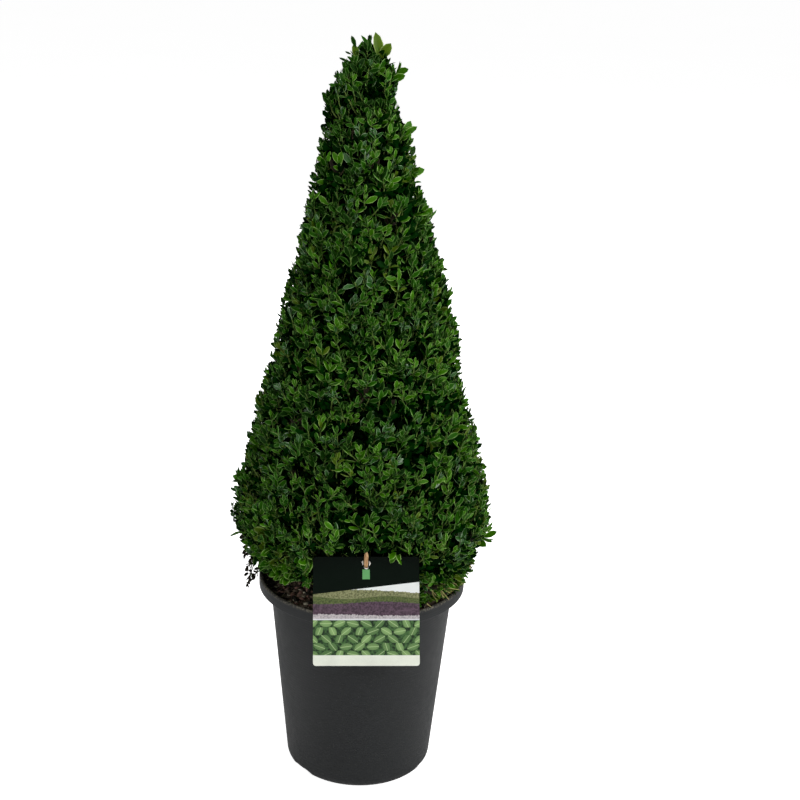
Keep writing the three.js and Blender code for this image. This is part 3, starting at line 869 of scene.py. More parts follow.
def build_soil():
    """The soil fills the pot, lumpy on top."""
    corner = POT_FOOT_RADIUS - POT_FOOT_CORNER
    inset = POT_WALL + GAP
    filling = [
        (0, inset),
        *arc(corner, POT_FOOT_CORNER, POT_FOOT_CORNER - inset, -90, -6, 4),
        (POT_NECK_RADIUS - inset, LIP_FOOT_Z - LIP_SLOPE + POT_WALL * 0.4 + GAP),
        (SOIL_EDGE_RADIUS, LIP_FOOT_Z + POT_WALL * 0.8 + GAP),
    ]
    top = [(SOIL_EDGE_RADIUS * (1 - i / SOIL_RINGS), SOIL_EDGE_Z) for i in range(SOIL_RINGS + 1)]
    shape = spun(filling + top, SOIL_SIDES)
    for vert in shape.verts:
        if vert.co.z > SOIL_EDGE_Z - 1e-5:
            vert.co.z = soil_height(vert.co.x, vert.co.y)
    soil = piece_of("potting_mix", shape, [soil_dark()], 80)
    cut_notches(soil)
    in_place(soil, "potting_soil", "soil")


def scattered_bits(name, count, length, materials, shares):
    """Angular bits that lie about on the soil, each its own length, turn and slant."""
    shape = bmesh.new()
    bmesh.ops.create_cube(shape, size=1)
    template = np.array([vert.co for vert in shape.verts])
    faces = [tuple(vert.index for vert in face.verts) for face in shape.faces]
    shape.free()
    lengths = length * (0.45 + 1.1 * draws.random(count) ** 1.6)
    spread = np.sqrt(draws.random(count)) * (SOIL_EDGE_RADIUS - lengths * 0.58)
    turn = draws.random(count) * math.tau
    x, y = spread * np.cos(turn), spread * np.sin(turn)
    z = np.array([soil_height(*at) for at in zip(x, y)])
    widths = lengths * draws.uniform(*BIT_WIDTHS, count)
    heights = lengths * draws.uniform(*BIT_HEIGHTS, count)
    sizes = np.stack([lengths, widths, heights], 1)
    bits = template * draws.uniform(*BIT_CORNERS, (count, *template.shape)) * sizes[:, None]
    about = draws.random(count) * math.tau
    slant = np.radians(draws.normal(0, BIT_SLANT, count))
    forth = unit(around(about, 1, np.zeros(count)) + np.array([0, 0, 1]) * np.tan(slant)[:, None])
    side = unit(np.cross(np.array([0, 0, 1.0]), forth))
    up = np.cross(forth, side)
    places = bits[:, :, :1] * forth[:, None] + bits[:, :, 1:2] * side[:, None] + bits[:, :, 2:] * up[:, None]
    places += np.stack([x, y, z + heights * BIT_PROUD], 1)[:, None]
    kinds = draws.choice(len(materials), count, p=shares)[:, None]
    piece = joined_copies(name, places, faces, np.repeat(kinds, len(faces), 1), materials, smooth=False)
    in_place(piece, "potting_soil")


def build_mulch():
    bark = [
        plain_bits("bark_black", srgb(46, 42, 36)),
        plain_bits("bark_brown", srgb(104, 92, 76)),
        plain_bits("bark_red", srgb(134, 102, 90)),
        plain_bits("bark_pale", srgb(190, 182, 160)),
    ]
    for name, (count, length, shares) in LOOSE_BITS.items():
        scattered_bits(name, count, length, bark, shares)


# Crown's shape: its reach and lean are those of the part's solids, its hollows only shown here

def lean_at(z):
    """How far the crown's axis has leaned aside at a height."""
    return CROWN_LEAN_X * (z - SOIL_CROWN_Z) / (CROWN_TOP_Z - SOIL_CROWN_Z)


def reach_at(z):
    """Radius of the clipped surface: tucked in below, straight above, a rounded tip on top."""
    down = np.clip((CROWN_WIDEST_Z - z) / (CROWN_WIDEST_Z - CROWN_FOOT_Z), 0, None)
    low = CROWN_WIDEST_RADIUS - (CROWN_WIDEST_RADIUS - CROWN_FOOT_RADIUS) * down**2
    up = (z - CROWN_WIDEST_Z) / (CROWN_SHOULDER_Z - CROWN_WIDEST_Z)
    cone = CROWN_WIDEST_RADIUS + (CROWN_SHOULDER_RADIUS - CROWN_WIDEST_RADIUS) * up
    over = (z - CROWN_SHOULDER_Z) / (CROWN_CREST_Z - CROWN_SHOULDER_Z)
    top = CROWN_SHOULDER_RADIUS * np.clip(1 - over**2, 0, None) ** 0.75
    return np.where(z < CROWN_WIDEST_Z, low, np.where(z < CROWN_SHOULDER_Z, cone, top))


def foot_at(turn):
    """Height of the foliage's foot, which is higher in places round the pot."""
    foot = np.full(np.shape(turn), CROWN_FOOT_Z - 0.004)
    for place, spread, rise in FOOT_LIFTS:
        off = np.degrees(np.angle(np.exp(1j * (turn - math.radians(place)))))
        foot = foot + rise * np.exp(-((off / spread) ** 2))
    return foot


def hollow_at(turn, z):
    """How far the clipped surface is sunken: a few hollows, and slight waves all over."""
    waves = np.sin(3 * turn + z * 37) * np.sin(5 * turn - z * 52 + 1)
    depth = 0.0010 * (1 + waves)
    for place, height, size, most in HOLLOWS:
        aside = np.angle(np.exp(1j * (turn - math.radians(place)))) * np.maximum(reach_at(z), 0.03)
        depth = depth + most * np.exp(-(aside**2 + (z - height) ** 2) / size**2)
    return depth


def height_at_share(shares):
    """Heights at which the given shares of the crown's surface lie below."""
    slices = 240
    heights = np.linspace(CROWN_FOOT_Z, CROWN_CREST_Z, slices)
    passed = np.cumsum(reach_at(heights))
    return np.interp(shares, passed / passed[-1], heights)


def leaf_length_at(turn, z):
    """Leaves are larger towards the narrow top, and larger in some patches than in others."""
    share = np.minimum(1, reach_at(z) / CROWN_WIDEST_RADIUS)
    patch = 1 + LEAF_PATCHES * np.sin(4 * turn + z * 23) * np.sin(3 * turn - z * 41 + 2)
    return (TOP_LEAF_LENGTH + (LEAF_LENGTH - TOP_LEAF_LENGTH) * share) * patch


def card_place():
    """Takes points flat on the card, X across and Y up from its middle, to where it stands."""
    middle_z = CARD_LOW_Z + CARD_HEIGHT / 2
    rim_z = POT_HEIGHT - LIP_ROLL
    back = POT_RIM_RADIUS + GAP + CARD_THICKNESS
    back -= (middle_z - rim_z) * math.tan(math.radians(CARD_LEAN))
    upright = Matrix.Rotation(math.radians(90 - CARD_LEAN), 4, "X")
    roll = Matrix.Rotation(math.radians(CARD_ROLL), 4, "Z")
    return Matrix.Translation((CARD_CENTRE_X, -back, middle_z)) @ upright @ roll


def slot_place():
    """The middle of the card's slot, where the card stands."""
    return card_place() @ Vector((0, SLOT_UP, -CARD_THICKNESS / 2))


def pick_place():
    """Takes a pick that stands on Z, with the slot at its origin, to where it leans."""
    return Matrix.Translation(slot_place()) @ Matrix.Rotation(math.radians(90 - PICK_RISE), 4, "X")


def moved_by(matrix, points):
    """Points taken by a 4x4 matrix."""
    kept = np.array(matrix)
    return points @ kept[:3, :3].T + kept[:3, 3]


def is_clear(points, before=False):
    """True where foliage may be: out of the pot, the card's sight, the pick and the stem."""
    axis = np.hypot(points[..., 0], points[..., 1])
    in_pot = (axis < POT_RIM_RADIUS + RIM_ROOM) & (points[..., 2] < POT_HEIGHT + RIM_ROOM)
    flat = moved_by(card_place().inverted(), points)
    ahead = flat[..., 2]
    across = CARD_FOOT_WIDTH / 2 + CARD_SIDE_ROOM
    head = CARD_HEIGHT / 2 + CARD_HEAD_ROOM + np.maximum(ahead, 0) * CARD_SIGHT_SLOPE
    before_card = (
        (np.abs(flat[..., 0]) < across)
        & (flat[..., 1] < head)
        & (ahead > -CARD_BEHIND)
        & (ahead < CARD_AHEAD)
    )
    stick = moved_by(pick_place().inverted(), points)
    beside = np.hypot(stick[..., 0], stick[..., 1])
    on_pick = (beside < PICK_RADIUS + PICK_ROOM) & (stick[..., 2] < PICK_PROUD)
    trunk = np.hypot(points[..., 0] - lean_at(points[..., 2]), points[..., 1])
    on_stem = (trunk < STEM_RADIUS + STEM_ROOM) & (points[..., 2] < STEM_TOP_Z)
    return ~(in_pot | (before_card & ~before) | on_pick | on_stem)


# Stem, boughs and twigs

def stem_radius(z):
    """The stem's radius: root flare, then an even taper."""
    share = (z - STEM_FOOT_Z) / (STEM_TOP_Z - STEM_FOOT_Z)
    flare = max(0, 1 - (z - STEM_FOOT_Z) / FLARE_HEIGHT)
    return STEM_RADIUS + (STEM_TIP_RADIUS - STEM_RADIUS) * share + (FLARE_RADIUS - STEM_RADIUS) * flare**1.8


def build_stem():
    profile = [(0, STEM_FOOT_Z)]
    for ring in range(STEM_RINGS + 1):
        z = STEM_FOOT_Z + (STEM_TOP_Z - STEM_FOOT_Z) * ring / STEM_RINGS
        profile.append((stem_radius(z), z))
    profile.append((0, STEM_TOP_Z))
    shape = spun(profile, STEM_SIDES)
    for vert in shape.verts:
        x, y, z = vert.co
        radius = math.hypot(x, y)
        if radius < 1e-5:
            vert.co.x += lean_at(z)
            continue
        low = max(0, 1 - (z - STEM_FOOT_Z) / FLARE_HEIGHT)
        toe = 1 + TOE_SWELL * math.cos(TOE_COUNT * math.atan2(y, x) + 1) * low
        furrow = noise.noise(Vector((x * 420, y * 420, z * 45)))
        knot = noise.noise(Vector((x * 90, y * 90, z * 60)))
        swell = toe + (furrow * 0.7 + knot) * BARK_RELIEF / radius
        vert.co.x = x * swell + lean_at(z)
        vert.co.y = y * swell
    in_place(piece_of("trunk", shape, [stem_bark()], 70), "stem_bark", "stem")


def bough_paths():
    """Boughs leave the stem by the golden angle and climb outwards, and a few carry on upwards."""
    index = np.arange(BOUGH_COUNT)
    share = index / (BOUGH_COUNT - 1)
    foot_z = CROWN_FOOT_Z + BOUGH_FOOT_ROOM + (STEM_TOP_Z - CROWN_FOOT_Z - BOUGH_HEAD_ROOM) * share**0.92
    turn = GOLDEN_ANGLE * index
    climb = BOUGH_CLIMB * (BOUGH_LEAST_CLIMB + BOUGH_MORE_CLIMB * share**2)
    tip_z = foot_z + climb * draws.uniform(*NEARLY_ONE, BOUGH_COUNT)
    tip_z = np.minimum(tip_z, CROWN_SHOULDER_Z - BOUGH_TIP_ROOM)
    tip = around(turn, reach_at(tip_z) * BOUGH_REACH, tip_z, lean_at(tip_z))
    foot = around(turn, 0, foot_z, lean_at(foot_z))
    control = foot + (tip - foot) * np.array(BOUGH_BEND)
    return bends(foot, control, tip, 9)


def branchlet_paths(boughs):
    """Each branchlet leaves the nearest bough from lower down and ends well inside the surface."""
    shares = (np.arange(BRANCHLET_COUNT) + 0.5) / BRANCHLET_COUNT
    z = height_at_share(shares) - BRANCHLET_DROP
    turn = GOLDEN_ANGLE * np.arange(BRANCHLET_COUNT) + BRANCHLET_FIRST_TURN
    radius = np.maximum(0.004, np.minimum(reach_at(z) - BRANCHLET_DEPTH, reach_at(z) * BRANCHLET_REACH))
    z = np.clip(z, CROWN_FOOT_Z + 0.004, CROWN_SHOULDER_Z + 0.008)
    tip = around(turn, radius, z, lean_at(z))
    anchors = boughs[:, 2:].reshape(-1, 3)
    apart = np.linalg.norm(tip[:, None] - anchors[None], axis=2)
    above = anchors[None, :, 2] > tip[:, None, 2] - 0.006
    foot = anchors[np.argmin(apart + above * 0.15, axis=1)]
    control = foot + (tip - foot) * np.array(BRANCHLET_BEND)
    return bends(foot, control, tip, 5)


# Shoots

def shoot_directions(tip, turn, rise):
    """Which way each shoot points, and which way is outwards from the axis there."""
    along = around(turn, np.cos(rise), np.sin(rise))
    out = np.stack([tip[:, 0] - lean_at(tip[:, 2]), tip[:, 1], np.zeros(len(tip))], 1)
    return along, unit(out)


def clipped_shoots(count, depth, depth_spread, first_turn):
    """Shoots wind up the crown by the golden angle, evenly over its surface, clipped to its reach."""
    shares = (np.arange(count) + 0.5) / count
    z = height_at_share(shares) + draws.normal(0, HEIGHT_UNEVENNESS, count)
    place = GOLDEN_ANGLE * np.arange(count) + first_turn + draws.normal(0, PLACE_UNEVENNESS, count)
    low = np.clip((CROWN_WIDEST_Z - z) / (CROWN_WIDEST_Z - CROWN_FOOT_Z), 0, 1)
    high = np.clip((z - CROWN_SHOULDER_Z) / (CROWN_CREST_Z - CROWN_SHOULDER_Z), 0, 1)
    steep = draws.uniform(SHOOT_LEAST_RISE, SHOOT_MOST_RISE, count)
    rise = np.radians(steep * (1 - LOW_SHOOT_DROOP * low) + (TOP_SHOOT_RISE - steep) * high)
    share = draws.random(count) ** DEPTH_POWER
    sunk = depth + depth_spread * share + hollow_at(place, z)
    radius = np.maximum(SHOOT_LEAST_REACH, reach_at(z) - sunk)
    z = np.maximum(z, foot_at(place) + SHOOT_FOOT_ROOM) - high * sunk * 0.6
    tip = around(place, radius, z, lean_at(z))
    turn = place + np.radians(SHOOT_TURN_SPREAD) * (draws.random(count) - 0.5) * 2
    along, out = shoot_directions(tip, turn, rise)
    tone = spray_tones(tip, out)
    stray = draws.random(count) < STRAY_SHARE
    return {
        "tip": tip, "along": along, "out": out,
        "over": draws.uniform(-CLIP_SHORTNESS, CLIP_ROUGHNESS, count) + STRAY_OVER * stray,
        "pairs": draws.integers(FEWEST_PAIRS, MOST_PAIRS + 1, count),
        "leaf": leaf_length_at(place, z) * draws.uniform(*LEAF_SIZES, count),
        "tip_leaf": np.full(count, TIP_LEAF_SHARE),
        "length": np.full(count, SHOOT_LENGTH),
        # Deeper shoots take darker tones as painted shade, near black for the deepest
        "tone": np.where(share > DARKEST_PAINTED_SHADE_FROM, DARKEST_PAINTED_SHADE, np.where(share > SHADED_FROM, SHADED, tone)),
        "before": np.zeros(count, bool),
        "wide": np.ones(count),
    }


def free_shoots(places, tone, leaf_length=SPRIG_LEAF_LENGTH, before=False):
    """Shoots that reach past the clipped surface, by their tips: turn, height, reach and rise of each."""
    turns, heights, reaches, rises = np.array(places).T
    turns, rises = np.radians(turns), np.radians(rises)
    radius = reaches - leaf_length * np.cos(rises)
    z = heights - leaf_length * np.sin(rises)
    tip = around(turns, radius, z, lean_at(z))
    along, out = shoot_directions(tip, turns, rises)
    count = len(places)
    return {
        "tip": tip, "along": along, "out": out,
        "over": np.full(count, FREE_OVER),
        "pairs": np.full(count, SPRIG_PAIRS),
        "leaf": np.full(count, leaf_length),
        "tip_leaf": np.full(count, SPRIG_TIP_LEAF_SHARE),
        "length": np.full(count, SPRIG_LENGTH),
        "tone": np.resize(tone, count),
        "before": np.full(count, before),
        "wide": np.full(count, SPRIG_LEAF_BREADTH),
    }


def strewn_shoots(count, ranges, tones, leaf_length):
    """Shoots strewn at random between the ends of each range, the tones dealt round."""
    places = np.stack([draws.uniform(*ends, count) for ends in ranges], 1)
    return free_shoots(places, np.resize(tones, count), leaf_length)


def leaders():
    """The two shoots that stand up at the top, their leaves turned to the front."""
    places = []
    for x, y, z in LEADERS:
        x -= float(lean_at(z))
        reach = math.hypot(x, y) + LEADER_LEAF_LENGTH * math.cos(math.radians(LEADER_RISE))
        places.append((math.degrees(math.atan2(y, x)), z, reach, LEADER_RISE))
    made = free_shoots(places, MID, LEADER_LEAF_LENGTH)
    made["out"][:] = LEADER_FACING
    made["tip_leaf"][:] = 1
    made["length"][:] = LEADER_LENGTH
    return made


def large_leaves():
    """The large leaves at the leaders' tips, each turned to the front."""
    places = np.array([row[:4] for row in LARGE_LEAVES])
    count = len(places)
    foot, way = np.full((count, 3), LARGE_LEAF_Y), np.zeros((count, 3))
    foot[:, ::2] = places[:, :2]
    way[:, ::2] = places[:, 2:] - places[:, :2]
    return {
        "root": foot,
        "along": unit(way),
        "facing": np.array(LEADER_FACING) + draws.normal(0, LARGE_LEAF_UNEVENNESS, (count, 3)),
        "length": np.linalg.norm(way, axis=1),
        "tone": np.array([TONE_NAMES.index(row[5]) for row in LARGE_LEAVES]),
        "shoot": np.zeros(count, int),
        "wide": np.array([row[4] for row in LARGE_LEAVES]),
    }


def leaves_of(shoots):
    """Opposite pairs of leaves up each shoot, each pair turned from the last, and two at its tip."""
    tip, along, out = shoots["tip"], shoots["along"], shoots["out"]
    count = len(tip)
    side = unit(np.cross(np.array([0, 0, 1.0]), along))
    other = np.cross(along, side)
    twist = draws.random(count) * math.tau
    found = []
    for pair in range(-1, int(shoots["pairs"].max())):
        spacing = PAIR_SPACING * draws.uniform(*NEARLY_ONE, count)
        root = tip - along * (max(0, pair + FIRST_PAIR_BACK) * spacing)[:, None]
        # Leaves lower down each shoot take darker tones as painted shade
        lower = np.maximum(shoots["tone"], SHADED if pair == PAINTED_SHADE_FROM_PAIR else DARKEST_PAINTED_SHADE)
        tone = np.where(pair < PAINTED_SHADE_FROM_PAIR, shoots["tone"], lower)
        changed = (draws.random(count) < MIXED_LEAVES) & (shoots["over"] < FREE_OVER)
        changed &= (pair < PAINTED_SHADE_FROM_PAIR) & (shoots["tone"] < WITHERED)
        tone = np.where(changed, spray_tones(tip, out), tone)
        grown = shoots["tip_leaf"] if pair < 0 else min(1, FIRST_PAIR_SHARE + SHARE_PER_PAIR * pair)
        for half in (0, math.pi):
            uneven = draws.normal(0, PAIR_TURN_UNEVENNESS, count)
            about = twist + half + math.radians(PAIR_TURN) * pair + uneven
            away = side * np.cos(about)[:, None] + other * np.sin(about)[:, None]
            spread = LEAF_SPREAD + SPREAD_PER_PAIR * pair + draws.normal(0, SPREAD_UNEVENNESS, count)
            spread = np.radians(spread) * (TIP_PAIR_SPREAD if pair < 0 else 1)
            leaf = unit(along * np.cos(spread)[:, None] + away * np.sin(spread)[:, None])
            facing = out * OUTWARD_FACING + along + draws.normal(0, FACING_SPREAD, (count, 3))
            made = {
                "root": root, "along": leaf, "facing": facing,
                "length": shoots["leaf"] * grown * draws.uniform(*NEARLY_ONE, count),
                "tone": tone,
                "shoot": np.arange(count),
                "wide": shoots["wide"],
            }
            found.append(picked_rows(made, pair < shoots["pairs"]))
    return joined_rows(*found)


def buds_of(shoots):
    """Small new leaves along each shoot, in the axils of its lower leaves."""
    found = []
    count = len(shoots["tip"])
    for _ in range(BUDS_ON_A_SHOOT):
        back = shoots["length"] * draws.uniform(*BUD_PLACES, count)
        along = unit(shoots["along"] + draws.normal(0, BUD_UNEVENNESS, (count, 3)))
        found.append({
            "root": shoots["tip"] - shoots["along"] * back[:, None],
            "along": along,
            "facing": shoots["out"] + draws.normal(0, FACING_SPREAD, (count, 3)),
            "length": BUD_LENGTH * draws.uniform(*BUD_SIZES, count),
            "tone": np.full(count, BUD),
            "shoot": np.arange(count),
            "wide": np.ones(count),
        })
    return joined_rows(*found)


def fitted(leaves, shoots, inset=0):
    """The leaves that stay inside the clipped surface and out of other pieces, some of them shortened."""
    over = shoots["over"][leaves["shoot"]] - inset
    before = shoots["before"][leaves["shoot"]]
    free = over >= FREE_OVER
    length = np.zeros(len(leaves["length"]))
    for share in KEPT_SHARES:
        tip = leaves["root"] + leaves["along"] * (leaves["length"] * share)[:, None]
        z = tip[:, 2]
        aside = tip[:, 0] - lean_at(z)
        turn = np.arctan2(tip[:, 1], aside)
        sunk = np.where(free, 0, hollow_at(turn, z))
        reach = reach_at(np.minimum(z, CROWN_CREST_Z - CREST_ROUNDING)) + over - sunk
        inside = (np.hypot(aside, tip[:, 1]) < reach) & ((z > foot_at(turn)) | free)
        inside &= (z < CROWN_TOP_Z) & ((z < CROWN_CREST_Z + over) | free)
        length = np.where(inside, leaves["length"] * share, length)
    tip = leaves["root"] + leaves["along"] * length[:, None]
    kept = length > 0
    for point in (tip, leaves["root"], (tip + leaves["root"]) / 2):
        kept &= is_clear(point, before)
    return picked_rows({**leaves, "length": length}, kept)


def leaf_shape(columns, rows, cup, curl, droop):
    """A leaf, one long, lying along Y: folded up from its midrib, its rim rolled down a little."""
    shape = bmesh.new()
    last_column, last_row = len(columns) - 1, len(rows) - 1
    bmesh.ops.create_grid(shape, x_segments=last_column, y_segments=last_row, size=1)
    for vert in shape.verts:
        share = columns[round((vert.co.x + 1) / 2 * last_column)]
        along, width = rows[round((vert.co.y + 1) / 2 * last_row)]
        off = abs(share)
        rise = cup * off if off < 1 else cup * off - droop
        x = share * width * LEAF_WIDTH_SHARE / 2
        vert.co = (x, along, rise * width * LEAF_WIDTH_SHARE - curl * along**2)
    bmesh.ops.remove_doubles(shape, verts=shape.verts, dist=1e-5)
    bmesh.ops.recalc_face_normals(shape, faces=shape.faces)
    points = np.array([vert.co for vert in shape.verts])
    faces = [tuple(vert.index for vert in face.verts) for face in shape.faces]
    middles = [abs(sum(points[i][0] for i in face) / len(face)) for face in faces]
    widest = [max(abs(points[i][0]) for i in face) for face in faces]
    pale = [int(middle / wide > RIM_FACE_SHARE) for middle, wide in zip(middles, widest)]
    shape.free()
    return points, faces, pale


LEAF_SHAPES = [leaf_shape(LEAF_COLUMNS, LEAF_ROWS, *bend) for bend in LEAF_BENDS]
PLAIN_SHAPES = [leaf_shape(PLAIN_COLUMNS, PLAIN_ROWS, *bend) for bend in PLAIN_BENDS]


def build_leaves(name, made_shapes, materials, leaves, *nodes):
    """Leaves of one tone as one piece, dealt among the leaf shapes."""
    across = unit(np.cross(leaves["along"], leaves["facing"]))
    up = np.cross(across, leaves["along"])
    length = leaves["length"][:, None, None]
    kind = np.arange(len(leaves["length"])) % len(made_shapes)
    shapes = np.stack([points for points, _, _ in made_shapes])[kind]
    places = leaves["root"][:, None] + length * (
        shapes[:, :, :1] * across[:, None] * leaves["wide"][:, None, None]
        + shapes[:, :, 1:2] * leaves["along"][:, None]
        + shapes[:, :, 2:] * up[:, None]
    )
    _, faces, pale = made_shapes[0]
    in_place(joined_copies(name, places, faces, pale, materials), "foliage", *nodes)


def spray_tones(tip, out):
    """A tone for each spray, at random: fresher towards the right side and the foot as painted light, deeper
    at the left and top as painted shade.
    """
    right = np.clip(out[:, 0] * 0.5 + 0.5, 0, 1)
    foot = np.clip((0.36 - tip[:, 2]) / 0.12, 0, 1)
    top = np.clip((tip[:, 2] - 0.74) / 0.10, 0, 1)
    # Deep, mid, fresh, young, grey and withered, in the order of LEAF_TONES
    shares = np.stack([
        0.34 - 0.18 * right - 0.14 * foot + 0.34 * top,
        0.38 * np.ones(len(tip)),
        0.17 + 0.14 * right + 0.22 * foot,
        0.01 + 0.05 * right**3 + 0.05 * (1 - right)**3 + 0.03 * foot,
        0.09 - 0.02 * right,
        0.006 + 0.03 * foot * right,
    ], 1)
    bounds = np.cumsum(shares / shares.sum(1, keepdims=True), 1)
    return (draws.random(len(tip))[:, None] > bounds[:, :-1]).sum(1)


def build_crown():
    boughs = bough_paths()
    branchlets = branchlet_paths(boughs)
    outer = joined_rows(
        clipped_shoots(SHOOT_COUNT, SHOOT_TIP_DEPTH, SHOOT_DEPTH_SPREAD, 0),
        strewn_shoots(*LUSH_SHOOTS, [FRESH, MID, FRESH, YOUNG], LUSH_LEAF_LENGTH),
        strewn_shoots(*LOW_SHOOTS, [FRESH, MID, YOUNG, FRESH, MID], LOW_LEAF_LENGTH),
        strewn_shoots(*RIM_SHOOTS, [FRESH, STRAW, YOUNG, MID], RIM_LEAF_LENGTH),
        free_shoots(SPRIGS, FRESH),
        free_shoots(DROOPERS, WITHERED, DROOPER_LEAF_LENGTH),
        free_shoots(FINE_DROOPERS, WITHERED, FINE_LEAF_LENGTH),
        free_shoots([CARD_DROOPER], FRESH, before=True),
        leaders(),
    )
    inner = clipped_shoots(INNER_SHOOT_COUNT, INNER_TIP_DEPTH, INNER_DEPTH_SPREAD, 0.7)
    inner = picked_rows(inner, inner["tip"][:, 2] < INNER_TOP_Z)
    leaves = fitted(joined_rows(leaves_of(outer), buds_of(outer)), outer)
    hidden = fitted(leaves_of(inner), inner, INNER_LEAF_INSET)
    # Every inner leaf takes the near-black tone, as painted shade
    hidden["tone"][:] = DARKEST_PAINTED_SHADE
    deal_leaves(joined_rows(leaves, hidden, large_leaves()))
    build_twigs(boughs, branchlets, joined_rows(outer, inner))
    build_cut_twigs()


def deal_leaves(leaves):
    """The leaves of each tone, in pieces that stay small enough. The first piece stands for the crown."""
    nodes = ["crown"]
    for index, tone in enumerate(TONE_NAMES):
        chosen = np.flatnonzero(leaves["tone"] == index)
        materials = leaf_green(tone)
        shapes = PLAIN_SHAPES if index >= SHADED else LEAF_SHAPES
        for part, start in enumerate(range(0, len(chosen), MOST_LEAVES_IN_A_PIECE)):
            some = picked_rows(leaves, chosen[start:start + MOST_LEAVES_IN_A_PIECE])
            build_leaves(f"leaves_{tone}_{part + 1}", shapes, materials, some, *nodes)
            nodes = []


def build_twigs(boughs, branchlets, shoots):
    """The boughs, the branchlets on them and the thin shoots that carry the leaves."""
    bark = stem_bark()
    in_place(limbs("boughs", boughs, BOUGH_RADIUS, BOUGH_TIP_RADIUS, 8, bark, BOUGH_RELIEF), "stem_bark")
    brown = twig_skin("brown")
    twigs = branchlets[is_clear(branchlets).all(1)]
    in_place(limbs("branchlets", twigs, BRANCHLET_RADIUS, BRANCHLET_TIP_RADIUS, 5, brown), "stem_bark")
    tip = shoots["tip"]
    foot = tip - shoots["along"] * shoots["length"][:, None]
    anchors = branchlets[:, 3:].reshape(-1, 3)
    apart = np.linalg.norm(foot[:, None] - anchors[None], axis=2)
    start = anchors[np.argmin(apart, axis=1)]
    paths = bends(start, foot, tip, 4)
    clear = is_clear(paths, shoots["before"][:, None]).all(1)
    withered = shoots["tone"] == WITHERED
    green = twig_skin("green")
    for name, chosen, skin in (("shoots", ~withered, green), ("dead_shoots", withered, brown)):
        made = limbs(name, paths[clear & chosen], SHOOT_RADIUS * 1.5, SHOOT_RADIUS, 3, skin)
        in_place(made, "foliage")


def build_cut_twigs():
    """Short bare twigs, cut off where they stand out over the rim."""
    turn = np.radians(draws.uniform(*CUT_TWIG_TURNS, CUT_TWIG_COUNT))
    aside = turn + draws.normal(0, CUT_TWIG_UNEVENNESS, CUT_TWIG_COUNT)
    foot_radius, tip_radius, foot_z, tip_z = (draws.uniform(*ends, CUT_TWIG_COUNT) for ends in CUT_TWIG_ENDS)
    foot, tip = around(turn, foot_radius, foot_z), around(aside, tip_radius, tip_z)
    paths = bends(foot, (foot + tip) / 2 + np.array([0, 0, CUT_TWIG_ARCH]), tip, 4)
    paths = paths[is_clear(paths).all(1)]
    made = limbs("cut_twigs", paths, CUT_TWIG_RADIUS, CUT_TWIG_RADIUS * 0.9, 6, twig_skin("straw"))
    in_place(made, "foliage")


# Card and pick

def card_uv(piece):
    """Gives the card a map of its own, across and up from its foot, before it is placed."""
    layer = piece.data.uv_layers.new(name="card")
    for loop in piece.data.loops:
        x, y, _ = piece.data.vertices[loop.vertex_index].co
        layer.data[loop.index].uv = (x / CARD_FOOT_WIDTH + 0.5, y / CARD_HEIGHT + 0.5)


def card_outline(shape):
    """The card's face: four corners, rounded."""
    foot, head, high = CARD_FOOT_WIDTH / 2, CARD_HEAD_WIDTH / 2, CARD_HEIGHT / 2
    corners = [(-foot, -high, 0), (foot, -high, 0), (head, high, 0), (-head, high, 0)]
    shape.faces.new([shape.verts.new(corner) for corner in corners])
    bmesh.ops.bevel(
        shape, geom=list(shape.verts), affect="VERTICES", offset=CARD_CORNER,
        segments=6, profile=0.5, material=-1,
    )


def split_at(shape, point, normal):
    """Divides a flat shape's faces along a line."""
    everything = shape.verts[:] + shape.edges[:] + shape.faces[:]
    bmesh.ops.bisect_plane(shape, geom=everything, plane_co=point, plane_no=normal, dist=1e-7)


def band_of(x, y):
    """Which printed band a point of the card lies in."""
    up = y + CARD_HEIGHT / 2
    if abs(x) < SQUARE_SIDE / 2 and 0 < CARD_HEIGHT - up - SQUARE_TOP_DROP < SQUARE_HEIGHT:
        return 5
    if up < CREAM_TOP:
        return 0
    if up < LEAVES_TOP:
        return 1
    if up < LINE_TOP:
        return 2
    return 3 if up < HEAD_LOW + HEAD_SLANT * x else 4


def printed(name, colour, roughness=0.36, specular=0.25):
    """Plain print on a satin card, faintly uneven."""
    made, tree, shader = finish(name, roughness, specular=specular)
    darker = tuple(value * 0.86 for value in colour[:3]) + (1.0,)
    tone = use(tree, MOTTLE, Dark=darker, Light=colour, Patch_Scale=40, Grain_Scale=900)
    tree.links.new(tone["Color"], shader["Base Color"])
    return made


def spot_on_card(tree):
    """Across and up on the card, each from 0 to 1."""
    return add(tree, "SeparateXYZ", {"Vector": add(tree, "UVMap", uv_map="card").outputs[0]}).outputs


